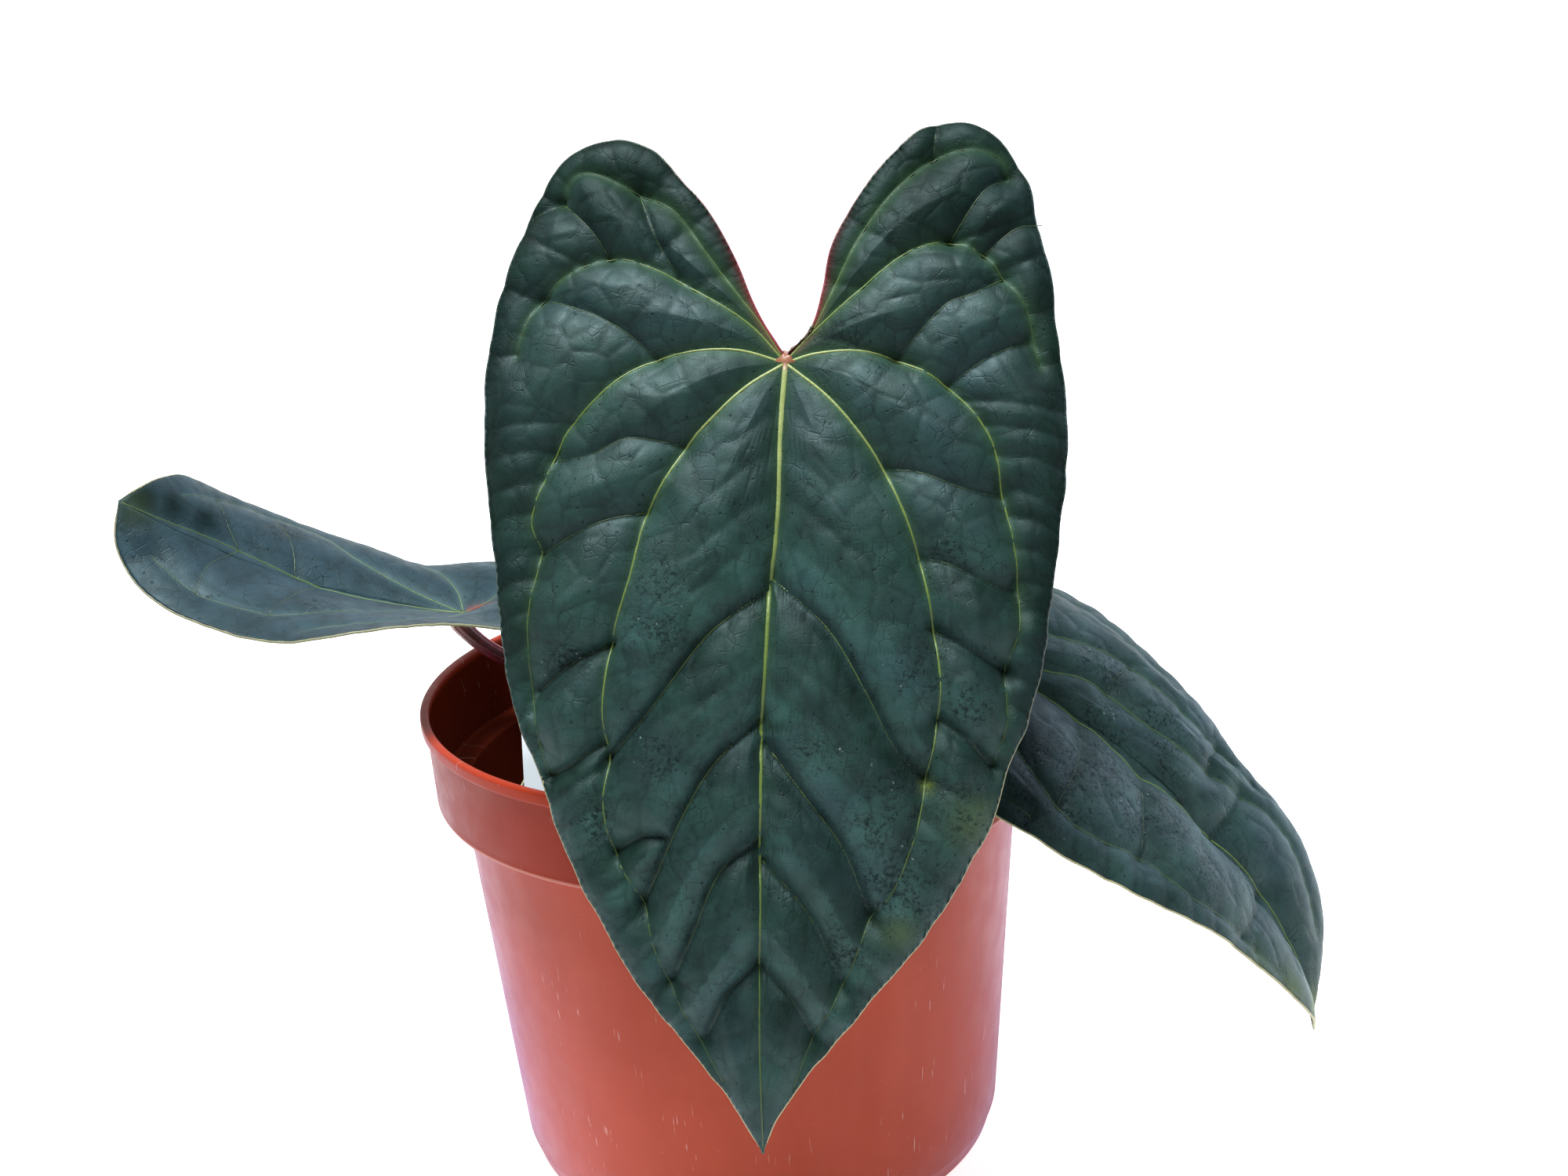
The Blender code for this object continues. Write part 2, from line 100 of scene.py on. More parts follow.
def meshOf(bm, name):
    mesh = bpy.data.meshes.new(name)
    bm.to_mesh(mesh)
    bm.free()
    return mesh


def applied(piece):
    # the piece with its modifiers made part of its mesh
    graph = bpy.context.evaluated_depsgraph_get()
    mesh = bpy.data.meshes.new_from_object(piece.evaluated_get(graph))
    piece.modifiers.clear()
    piece.data = mesh
    return piece


def setValues(mesh, name, values):
    layer = mesh.attributes.new(name, "FLOAT", "POINT")
    layer.data.foreach_set("value", np.asarray(values, np.float32))


# Shader helpers

def addNode(tree, kind, inputs=None, **settings):
    made = tree.nodes.new(kind)
    for key, value in settings.items():
        setattr(made, key, value)
    for key, value in (inputs or {}).items():
        if isinstance(value, bpy.types.NodeSocket):
            tree.links.new(value, made.inputs[key])
        else:
            made.inputs[key].default_value = value
    return made


def newMaterial(name, **values):
    material = bpy.data.materials.new(name)
    material.use_nodes = True
    shader = material.node_tree.nodes["Principled BSDF"]
    for key, value in values.items():
        shader.inputs[key.replace("_", " ")].default_value = value
    return material, material.node_tree, shader


def mixed(tree, share, first, second, blend="MIX"):
    mix = addNode(tree, "ShaderNodeMix", data_type="RGBA", blend_type=blend)
    for index, value in ((0, share), (6, first), (7, second)):
        if isinstance(value, bpy.types.NodeSocket):
            tree.links.new(value, mix.inputs[index])
        elif index == 0:
            mix.inputs[0].default_value = value
        else:
            mix.inputs[index].default_value = (*value, 1)
    return mix.outputs[2]


def stepped(tree, value, low, high, lowTo=0.0, highTo=1.0):
    inputs = {"Value": value, "From Min": low, "From Max": high, "To Min": lowTo, "To Max": highTo}
    made = addNode(tree, "ShaderNodeMapRange", inputs, interpolation_type="SMOOTHSTEP")
    return made.outputs["Result"]


def maths(tree, operation, first, second=0.0):
    made = addNode(tree, "ShaderNodeMath", {0: first, 1: second}, operation=operation)
    return made.outputs[0]


def attribute(tree, name):
    return addNode(tree, "ShaderNodeAttribute", attribute_name=name).outputs["Fac"]


def scaled(tree, vector, scale):
    return addNode(tree, "ShaderNodeMapping", {"Vector": vector, "Scale": scale}).outputs["Vector"]


def noiseOf(tree, vector, scale, detail=4.0, rough=0.55):
    made = addNode(tree, "ShaderNodeTexNoise", {"Vector": vector, "Scale": scale, "Detail": detail,
                                                "Roughness": rough})
    return made.outputs["Fac"]


def makeGroup(name, inputs, output):
    group = bpy.data.node_groups.new(name, "ShaderNodeTree")
    for label, kind, value in inputs:
        socket = group.interface.new_socket(label, in_out="INPUT", socket_type=kind)
        if value is not None:
            socket.default_value = value
    group.interface.new_socket(output[0], in_out="OUTPUT", socket_type=output[1])
    return group, group.nodes.new("NodeGroupInput"), group.nodes.new("NodeGroupOutput")


def buildMottle():
    # two colours mixed in soft cloudy patches
    inputs = [("Vector", "NodeSocketVector", None), ("Scale", "NodeSocketFloat", 5.0),
              ("Dark", "NodeSocketColor", None), ("Light", "NodeSocketColor", None)]
    group, given, out = makeGroup("mottle", inputs, ("Color", "NodeSocketColor"))
    cloud = noiseOf(group, given.outputs["Vector"], given.outputs["Scale"], 8.0, 0.6)
    share = stepped(group, cloud, 0.3, 0.7)
    group.links.new(mixed(group, share, given.outputs["Dark"], given.outputs["Light"]), out.inputs[0])
    return group


def buildGrain():
    # a fine uneven surface, as a height
    inputs = [("Vector", "NodeSocketVector", None), ("Scale", "NodeSocketFloat", 100.0)]
    group, given, out = makeGroup("grain", inputs, ("Height", "NodeSocketFloat"))
    fine = noiseOf(group, given.outputs["Vector"], given.outputs["Scale"], 5.0, 0.65)
    coarseScale = maths(group, "MULTIPLY", given.outputs["Scale"], 0.27)
    coarse = noiseOf(group, given.outputs["Vector"], coarseScale, 2.0)
    group.links.new(maths(group, "ADD", fine, coarse), out.inputs[0])
    return group


mottleGroup = buildMottle()
grainGroup = buildGrain()


def mottle(tree, vector, scale, dark, light):
    made = addNode(tree, "ShaderNodeGroup", node_tree=mottleGroup)
    tree.links.new(vector, made.inputs["Vector"])
    made.inputs["Scale"].default_value = scale
    made.inputs["Dark"].default_value = (*dark, 1)
    made.inputs["Light"].default_value = (*light, 1)
    return made.outputs[0]


def grain(tree, vector, scale):
    made = addNode(tree, "ShaderNodeGroup", node_tree=grainGroup)
    tree.links.new(vector, made.inputs["Vector"])
    made.inputs["Scale"].default_value = scale
    return made.outputs[0]


def bump(tree, shader, height, distance, strength=1.0):
    made = addNode(tree, "ShaderNodeBump", {"Height": height, "Distance": distance, "Strength": strength})
    tree.links.new(made.outputs[0], shader.inputs["Normal"])


def objectPlace(tree):
    return addNode(tree, "ShaderNodeTexCoord").outputs["Object"]


# Leaf materials

bladeLook = {
    "blue": (0.017, 0.040, 0.060),
    "sinus": (0.250, 0.015, 0.030),
    "freckle": (0.003, 0.008, 0.008),
    "fleck": (0.200, 0.260, 0.260),
    "yellow": (0.160, 0.210, 0.025),
    "under": (0.070, 0.130, 0.075),
}
# each leaf's tones: deep, fresh, and the glow beside its veins; the left leaf's are bluer, partly its own
# colour, partly a painted reflection of the pale backdrop
mainTones = ((0.007, 0.024, 0.019), (0.020, 0.058, 0.050), (0.040, 0.095, 0.035))
leftTonesWithReflection = ((0.008, 0.025, 0.036), (0.021, 0.052, 0.072), (0.050, 0.100, 0.110))
rightTones = ((0.009, 0.027, 0.025), (0.025, 0.062, 0.057), (0.030, 0.070, 0.055))


def bladeMaterial(name, blueness, tones):
    look = bladeLook
    deepToneAndShade, fresh, glow = tones
    material, tree, shader = newMaterial(name, Specular_Tint=(0.70, 0.95, 1.0, 1), Sheen_Weight=0.10,
                                         Sheen_Roughness=0.4, Sheen_Tint=(0.6, 0.9, 1.0, 1))
    flat = addNode(tree, "ShaderNodeUVMap", uv_map="flat").outputs["UV"]
    colour = mottle(tree, flat, 11.0, deepToneAndShade, fresh)
    wash = stepped(tree, noiseOf(tree, flat, 5.0, 3.0), 0.42, 0.72, 0.0, blueness)
    colour = mixed(tree, wash, colour, look["blue"])
    fibre = noiseOf(tree, scaled(tree, flat, (60, 240, 1)), 1.0, 5.0)
    fibre = stepped(tree, fibre, 0.3, 0.75, 0.0, 0.35)
    colour = mixed(tree, fibre, colour, (0.62, 0.64, 0.64), "MULTIPLY")
    fleece = noiseOf(tree, flat, 330.0, 4.0, 0.75)
    fleece = stepped(tree, fleece, 0.42, 0.66, 0.0, 0.55)
    colour = mixed(tree, fleece, colour, (0.45, 0.47, 0.47), "MULTIPLY")
    # the fine net between the veins
    net = addNode(tree, "ShaderNodeTexVoronoi", {"Vector": flat, "Scale": 42.0, "Randomness": 1.0},
                  feature="DISTANCE_TO_EDGE").outputs["Distance"]
    line = stepped(tree, net, 0.0, 0.07, 1.0, 0.0)
    broken = stepped(tree, noiseOf(tree, flat, 19.0, 2.0), 0.45, 0.6)
    line = maths(tree, "MULTIPLY", line, broken)
    colour = mixed(tree, maths(tree, "MULTIPLY", line, 0.6), colour, tuple(part * 0.5 for part in deepToneAndShade))
    # darker in the sunken vein creases and along the panel edges: partly painted shade, partly the leaf's
    # own darker tissue
    colour = mixed(tree, attribute(tree, "creaseTintAndShade"), colour, (0.35, 0.44, 0.38), "MULTIPLY")
    # painted shade: the blade darker where its shading values are high
    paintedShade = attribute(tree, "deepToneAndShade")
    colour = mixed(tree, paintedShade, colour, (0.30, 0.35, 0.27), "MULTIPLY")
    # painted light: the blade lighter above each side vein
    colour = mixed(tree, attribute(tree, "paintedLight"), colour, (1.95, 1.90, 1.90), "MULTIPLY")
    colour = mixed(tree, attribute(tree, "glow"), colour, glow)
    colour = mixed(tree, attribute(tree, "yellow"), colour, look["yellow"])
    colour = mixed(tree, attribute(tree, "sinus"), colour, look["sinus"])
    # freckles in patches, with a few pale flecks among them
    patch = attribute(tree, "patch")
    blotch = stepped(tree, noiseOf(tree, flat, 120.0, 5.0, 0.75), 0.49, 0.55)
    spread = stepped(tree, noiseOf(tree, flat, 26.0, 3.0), 0.36, 0.54)
    freckle = maths(tree, "MULTIPLY", maths(tree, "MULTIPLY", blotch, spread), patch)
    sparse = addNode(tree, "ShaderNodeTexVoronoi", {"Vector": flat, "Scale": 40.0}).outputs["Distance"]
    few = maths(tree, "MULTIPLY", stepped(tree, sparse, 0.07, 0.13, 1.0, 0.0), 0.6)
    freckle = maths(tree, "MAXIMUM", maths(tree, "MULTIPLY", freckle, 0.72), few)
    colour = mixed(tree, freckle, colour, look["freckle"])
    long = scaled(tree, flat, (1.1, 0.9, 1))
    flecks = addNode(tree, "ShaderNodeTexVoronoi", {"Vector": long, "Scale": 85.0}).outputs["Distance"]
    pale = maths(tree, "MULTIPLY", stepped(tree, flecks, 0.10, 0.2, 1.0, 0.0), patch)
    pale = maths(tree, "MULTIPLY", pale, stepped(tree, noiseOf(tree, flat, 34.0, 2.0), 0.58, 0.66))
    colour = mixed(tree, pale, colour, look["fleck"])
    tree.links.new(colour, shader.inputs["Base Color"])
    rough = stepped(tree, noiseOf(tree, flat, 30.0, 4.0), 0.3, 0.7, 0.48, 0.62)
    tree.links.new(rough, shader.inputs["Roughness"])
    # less shine where shade is painted, and on the freckles
    dull = maths(tree, "MULTIPLY", paintedShade, 0.75)
    dull = maths(tree, "MAXIMUM", dull, maths(tree, "MULTIPLY", freckle, 0.8))
    tree.links.new(stepped(tree, dull, 0.0, 1.0, 0.40, 0.03), shader.inputs["Specular IOR Level"])
    height = maths(tree, "ADD", maths(tree, "MULTIPLY", grain(tree, flat, 260.0), 0.18),
                   maths(tree, "MULTIPLY", line, -0.12))
    height = maths(tree, "SUBTRACT", height, maths(tree, "MULTIPLY", freckle, 0.25))
    bump(tree, shader, height, 0.0003, 0.9)
    return material


def undersideMaterial():
    material, tree, shader = newMaterial("blade_under", Roughness=0.6, Sheen_Weight=0.1)
    flat = addNode(tree, "ShaderNodeUVMap", uv_map="flat").outputs["UV"]
    colour = mottle(tree, flat, 14.0, bladeLook["under"], (0.105, 0.17, 0.10))
    colour = mixed(tree, maths(tree, "MULTIPLY", attribute(tree, "sinus"), 0.6), colour, bladeLook["sinus"])
    tree.links.new(colour, shader.inputs["Base Color"])
    bump(tree, shader, grain(tree, flat, 200.0), 0.0001, 0.6)
    return material


def edgeMaterial():
    # the hard thin rim: red in the notch, cream lower down, dark elsewhere
    material, tree, shader = newMaterial("blade_edge", Roughness=0.45)
    place = objectPlace(tree)
    colour = mottle(tree, place, 300.0, (0.03, 0.05, 0.035), (0.055, 0.08, 0.05))
    colour = mixed(tree, attribute(tree, "cream"), colour, (0.40, 0.38, 0.21))
    colour = mixed(tree, attribute(tree, "red"), colour, (0.24, 0.012, 0.035))
    tree.links.new(colour, shader.inputs["Base Color"])
    bump(tree, shader, grain(tree, place, 3000.0), 0.00005)
    return material


def veinMaterial():
    material, tree, shader = newMaterial("vein", Roughness=0.42, Subsurface_Weight=0.08,
                                         Subsurface_Scale=0.001)
    place = objectPlace(tree)
    pale = attribute(tree, "pale")
    colour = mixed(tree, stepped(tree, pale, 0.0, 0.4), (0.035, 0.070, 0.025), (0.13, 0.20, 0.045))
    colour = mixed(tree, stepped(tree, pale, 0.55, 0.95), colour, (0.31, 0.38, 0.14))
    colour = mixed(tree, stepped(tree, pale, 0.975, 1.0), colour, (0.28, 0.14, 0.10))
    streak = noiseOf(tree, place, 1400.0, 3.0)
    streaked = stepped(tree, streak, 0.35, 0.7, 0.0, 0.35)
    colour = mixed(tree, streaked, colour, (0.70, 0.72, 0.55), "MULTIPLY")
    tree.links.new(colour, shader.inputs["Base Color"])
    bump(tree, shader, streak, 0.00008)
    return material


bladeMain = bladeMaterial("blade_main", 0.35, mainTones)
bladeLeft = bladeMaterial("blade_left", 0.3, leftTonesWithReflection)
bladeRight = bladeMaterial("blade_right", 0.4, rightTones)
bladeUnder = undersideMaterial()
bladeEdge = edgeMaterial()
veinSkin = veinMaterial()


# Leaves: each blade is drawn flat in millimetres, u to the right of the midrib and v towards the lobes.
# relief: how high the main, side and fine panels and the margin rise
# fade: how soon a main vein loses its pale colour
# darkness, lobeShadeFrom: how strong the painted shade on the margin and the lobes is, and above which v
# the lobes get it
# chevrons: how strong the painted shade below and the painted light above the side veins are, low on the
# blade
# pleats: how much higher the panels rise low on the blade
# darks: more places of painted shade, each as (u, v, size, strength)

mainLeaf = {
    "length": 138.0, "joint": (12.4, -49.0, 177.4), "tipWay": (-0.105, -0.408, -0.907),
    "upperWay": (-0.05, -0.891, 0.454), "bend": 0.30, "lobeBend": 0.35, "halfWidth": 48.0,
    "fold": (0.10, 0.10), "curl": (0.28, 0.28), "tipFold": (0.0, 0.0),
    "edges": ([(0, 0), (-3.8, 5.3), (-6.4, 10.1), (-9.2, 16.6), (-14.0, 24.8), (-18.6, 30.0),
               (-21.5, 33.5)],
              [(0, 0), (4.3, 5.1), (6.1, 11.8), (7.2, 18.8), (9.7, 24.8), (14.0, 32.0), (19.0, 38.5)]),
    "margins": ([(-21.5, 33.5), (-25.0, 36.4), (-31.0, 38.0), (-38.0, 36.0), (-43.0, 30.0), (-47.5, 18.7),
                 (-50.7, 7.0), (-51.8, -6.0), (-50.8, -21.0), (-48.3, -40.0), (-45.5, -57.5),
                 (-40.5, -71.5), (-36.5, -81.5), (-30.5, -93.5), (-22.0, -108.0), (-11.5, -121.0),
                 (-4.0, -130.5), (0, -138.0)],
                [(19.0, 38.5), (23.0, 41.8), (30.0, 42.6), (36.5, 39.4), (40.5, 33.0), (43.5, 22.5),
                 (46.0, 8.0), (48.0, -7.0), (48.2, -18.0), (46.6, -36.0), (44.7, -53.0), (39.9, -69.5),
                 (35.2, -82.0), (26.3, -98.0), (16.5, -111.0), (6.8, -124.0), (2.3, -131.0), (0, -138.0)]),
    # each vein: how wide at its two ends, how pale at its two ends, then its points from the root outwards
    "main": [
        (0.55, 0.12, 1.00, 0.10, [(0, -1.1), (-0.5, -13), (-0.5, -27.5), (-1.5, -43), (-2, -60), (-2, -73),
                                 (-1.5, -94.5), (-1, -118.5), (0, -137)]),
        (0.24, 0.09, 0.95, 0.05, [(0, -1.1), (-6.5, -5.5), (-12.5, -11.5), (-16.5, -16.5), (-22.5, -27.5),
                                  (-25, -38.5), (-28, -50), (-29, -62), (-28, -69.5), (-28.5, -77),
                                  (-26.5, -85.5), (-21.5, -94), (-19, -102.5), (-14.5, -112), (-7, -125)]),
        (0.21, 0.09, 0.95, 0.05, [(0, -1.1), (-8, 0.7), (-16, 0.2), (-22.5, -1.5), (-28.5, -5),
                                  (-35, -11.5), (-38.5, -17), (-42, -26.5), (-42.5, -30.5), (-41, -35),
                                  (-42.3, -45), (-42, -56), (-41, -62.5), (-38.5, -73)]),
        (0.23, 0.09, 0.95, 0.05, [(0, -1.1), (7.5, -7), (14.5, -15), (19.5, -23.5), (23.5, -33.5),
                                  (26.5, -46), (27.8, -58), (26, -71), (24.5, -79.5), (21, -90), (17, -96),
                                  (13.5, -106), (8, -117), (5, -125.5)]),
        (0.21, 0.09, 0.95, 0.05, [(0, -1.1), (5.5, 0.6), (14.5, 1), (23.5, -2), (30.5, -7), (35.5, -14),
                                  (37.5, -22), (40, -33), (41, -44), (39, -52.5), (39.3, -61),
                                  (37.5, -69)]),
        (0.15, 0.08, 0.75, 0.05, [(0, -1.1), (-6, 5), (-14, 10), (-22.5, 14.5), (-31, 16.5), (-39, 13),
                                  (-44, 7.5), (-46, 2.5), (-46.5, -0.5)]),
        (0.15, 0.08, 0.75, 0.05, [(0, -1.1), (3, 2.7), (10, 9.5), (17, 16), (21, 19), (27.5, 21),
                                  (33.5, 19), (37, 15), (41, 9.5), (43.5, 0)]),
        (0.08, 0.06, 0.45, 0.00, [(0, -1.1), (-4.5, 5.6), (-8.5, 10.5), (-14.5, 18), (-20, 25),
                                  (-26.5, 28.5),
                                 (-35.5, 32), (-39, 30.5), (-40, 27)]),
        (0.08, 0.06, 0.45, 0.00, [(0, -1.1), (4.5, 4.6), (7, 10), (12.5, 22), (19, 31), (24.5, 36),
                                  (31, 38),
                                 (36, 36.7), (37.5, 33.5)]),
    ],
    "side": [
        (0.12, 0.08, 0.58, 0.05, [(-1.5, -40), (-8.5, -45), (-13, -49.5), (-21.5, -61.5), (-28, -69.5)]),
        (0.10, 0.08, 0.50, 0.05, [(-2, -62), (-9.5, -69), (-14.5, -77.5), (-19.5, -89.5), (-21.5, -94)]),
        (0.08, 0.06, 0.38, 0.05, [(-2, -83), (-8.5, -88), (-13, -99.5), (-16, -107)]),
        (0.06, 0.06, 0.12, 0.00, [(-1.5, -104), (-6.5, -109), (-10, -117)]),
        (0.12, 0.08, 0.58, 0.05, [(-1, -38), (8.5, -46), (15, -56), (20.5, -66), (25.5, -71)]),
        (0.10, 0.08, 0.50, 0.05, [(-1.5, -66), (5.5, -74.5), (12.5, -83.5), (17, -94.5)]),
        (0.08, 0.06, 0.38, 0.05, [(-1.5, -86), (7, -95), (12.5, -106.5)]),
        (0.06, 0.06, 0.12, 0.00, [(-1, -104.5), (4.5, -110), (8, -116.5)]),
        (0.07, 0.07, 0.18, 0.00, [(-22.5, -27.5), (-29.5, -29), (-36.5, -32.5), (-41, -35)]),
        (0.07, 0.07, 0.18, 0.00, [(-28, -50), (-34, -53), (-40.5, -58.5)]),
        (0.06, 0.07, 0.12, 0.00, [(-29, -67), (-35.5, -71.5), (-38.5, -73)]),
        (0.06, 0.06, 0.12, 0.00, [(-17, -82), (-22, -82.5), (-26.5, -85.5)]),
        (0.07, 0.07, 0.21, 0.00, [(18, -19), (23.5, -19.5), (31, -22), (37.5, -23)]),
        (0.07, 0.07, 0.18, 0.00, [(24, -34), (28, -34.5), (36, -38), (40, -39)]),
        (0.06, 0.07, 0.18, 0.00, [(26.5, -46), (34.5, -50), (39, -52.5)]),
        (0.06, 0.07, 0.12, 0.00, [(28, -61), (33.5, -65), (37.5, -69)]),
        (0.07, 0.06, 0.18, 0.00, [(37, 15), (31.5, 11.5), (26.5, 9), (19, 0)]),
        (0.06, 0.06, 0.18, 0.00, [(41.5, 4), (35, 1), (28, -4)]),
        (0.07, 0.06, 0.18, 0.00, [(27.5, 21), (33, 30), (37, 33)]),
        (0.06, 0.06, 0.12, 0.00, [(33.5, 19), (39, 24), (43.5, 25)]),
        (0.07, 0.06, 0.18, 0.00, [(-40, 27), (-34, 21), (-31, 16.5)]),
        (0.06, 0.06, 0.12, 0.00, [(-26.5, 28.5), (-23, 20), (-19, 13.5)]),
        (0.06, 0.06, 0.18, 0.00, [(-42, 9.5), (-32.5, 6), (-27, 3), (-22, -1)]),
        (0.06, 0.06, 0.12, 0.00, [(-16.5, -16), (-26, -15), (-32.5, -18), (-38.5, -19)]),
        (0.06, 0.06, 0.06, 0.00, [(24.5, 36), (24.6, 39.5), (25, 42)]),
        (0.06, 0.06, 0.06, 0.00, [(-40, 27), (-45, 24.5)]),
    ],
    # small side veins that leave the midrib at an angle: where, and how long on each side
    "twigs": [(-9, 8, 6), (-16, 11, 9), (-23, 13, 12), (-30, 14, 13), (-50, 15, 15), (-56, 16, 15),
              (-73, 12, 12), (-79, 10, 11), (-95, 7, 7), (-100, 6, 6), (-112, 5, 5), (-119, 4, 4)],
    "ladders": [(2, -1, 5.6, 1.0, 0), (4, 1, 5.4, 1.0, 0), (1, -1, 6.5, 1.0, -70), (3, 1, 6.5, 1.0, -68),
                (5, -1, 9.0, -1.0, 99), (6, 1, 9.0, -1.0, 99), (7, -1, 16.0, -1.0, 99),
                (8, 1, 16.0, -1.0, 99)],
    "patches": [(-20, -39, 4.5), (-20, -48, 5), (-35, -53, 4.5), (-19, -68, 4.5), (20.6, -76, 8),
                (20, -89, 6), (25, -52, 5), (33, -58, 4), (32.5, -75, 5), (24.5, -90, 5), (10, 3.5, 3),
                (3, 5.5, 2), (8, -66, 4), (-30, -80, 4), (12, -100, 5), (28, -33, 3.5)],
    "yellows": [(34, -78, 4, 0.22), (22.6, -97, 3, 0.2), (26, -72, 1.2, 0.5)],
    "cream": (-60.0, 1.0),
    "relief": (3.0, 2.3, 0.65, 0.22), "reach": 6.0,
    "cell": 6.0, "seed": 3, "wave": 0.5, "fade": 1.7,
    "lobeAndMarginShade": 1.0, "lobeShadeFrom": 4.0, "chevronShadeAndLight": 0.9, "pleats": 0.8, "paintedShadows": [],
}

leftLeaf = {
    "length": 72.0, "joint": (-55.5, 5.6, 117.7), "tipWay": (-0.960, -0.163, 0.226),
    "upperWay": (0.267, -0.296, 0.917), "bend": -0.55, "lobeBend": 0.11, "halfWidth": 26.5,
    "fold": (0.32, 0.52), "curl": (1.0, -0.10), "tipFold": (0.17, -1.36),
    "edges": ([(0, 0), (-2.0, 3.0), (-4.0, 7.0), (-7.0, 11.0), (-10.5, 14.5)],
              [(0, 0), (2.0, 3.0), (3.5, 6.5), (5.5, 10.5), (8.5, 14.5)]),
    "margins": ([(-10.5, 14.5), (-14.5, 16.0), (-19.5, 14.0), (-22.5, 8.5), (-23.5, -2.0), (-24.5, -15.0),
                 (-26.0, -28.0), (-24.5, -40.0), (-20.0, -51.0), (-16.5, -60.0), (-9.0, -67.0), (0, -72.0)],
                [(8.5, 14.5), (12.0, 17.5), (17.5, 19.0), (23.0, 16.5), (27.0, 10.0), (29.5, 1.0),
                 (31.5, -11.0), (32.5, -24.0), (29.5, -36.0), (22.0, -50.0), (15.5, -60.0), (8.5, -68.0),
                 (0, -72.0)]),
    "main": [
        (0.20, 0.08, 0.80, 0.20, [(0, 0), (1.0, -12), (1.0, -24), (-0.5, -35), (-2, -48), (-1.5, -58),
                                  (0, -71.5)]),
        (0.11, 0.07, 0.47, 0.10, [(0, 0), (-4.7, -12.4), (-10.4, -23.5), (-16.5, -31), (-18, -40),
                                  (-15, -51),
                                 (-9, -61)]),
        (0.11, 0.07, 0.47, 0.10, [(0, 0), (5, -9), (11, -18), (16, -28), (17.5, -38), (14, -50), (7, -62)]),
        (0.09, 0.07, 0.44, 0.10, [(0, 0), (-6, -1.5), (-13, -6), (-18, -13), (-21, -23), (-21.5, -34)]),
        (0.09, 0.07, 0.44, 0.10, [(0, 0), (8, -1), (16, -4), (22, -11), (25, -21), (25, -33)]),
        (0.08, 0.06, 0.70, 0.10, [(0, 0), (-4, 5), (-9, 8), (-15, 9), (-19, 5)]),
        (0.08, 0.06, 0.70, 0.10, [(0, 0), (5, 5), (12, 9.5), (19, 10), (24, 5)]),
    ],
    "side": [
        (0.07, 0.06, 0.24, 0.00, [(-0.5, -35), (-4.7, -36), (-10, -38), (-17.5, -42)]),
        (0.06, 0.06, 0.24, 0.00, [(0.5, -30), (7, -34), (17, -40)]),
        (0.06, 0.06, 0.18, 0.00, [(-2, -47), (-7, -51), (-14, -54)]),
        (0.06, 0.06, 0.18, 0.00, [(-2, -47), (5, -52), (13, -53)]),
    ],
    "twigs": [(-7, 5, 5), (-13, 7, 7), (-19, 8, 9), (-41, 7, 8), (-54, 4, 4), (-60, 3, 3)],
    "ladders": [(1, -1, 6.0, 1.0, -34), (2, 1, 6.0, 1.0, -34), (3, -1, 5.5, 1.0, 99), (4, 1, 5.5, 1.0, 99)],
    "patches": [(-12, -40, 4), (14, -30, 4)],
    "yellows": [(0, -69, 4, 0.1)],
    "cream": (15.0, 0.5),
    "relief": (0.8, 0.4, 0.2, 0.12), "reach": 4.0,
    "bumps": [(11, 9, 8, 4.8), (17, 17, 8, 2.0), (-7, 9, 5, -0.8), (-20, 10, 8, 1.2), (-22, -8, 8, -1.7)],
    "cell": 6.0, "seed": 8, "wave": 0.9, "fade": 3.0,
    "lobeAndMarginShade": 0.3, "lobeShadeFrom": 50.0, "chevronShadeAndLight": 0.0, "pleats": 0.0,
    "paintedShadows": [(-3, -68, 5, 1.0), (-5, -62, 5, 1.0), (-5, -55, 4.5, 1.0), (-16, -50, 4, 0.4),
              (-10, 4, 5, 0.3)],
}

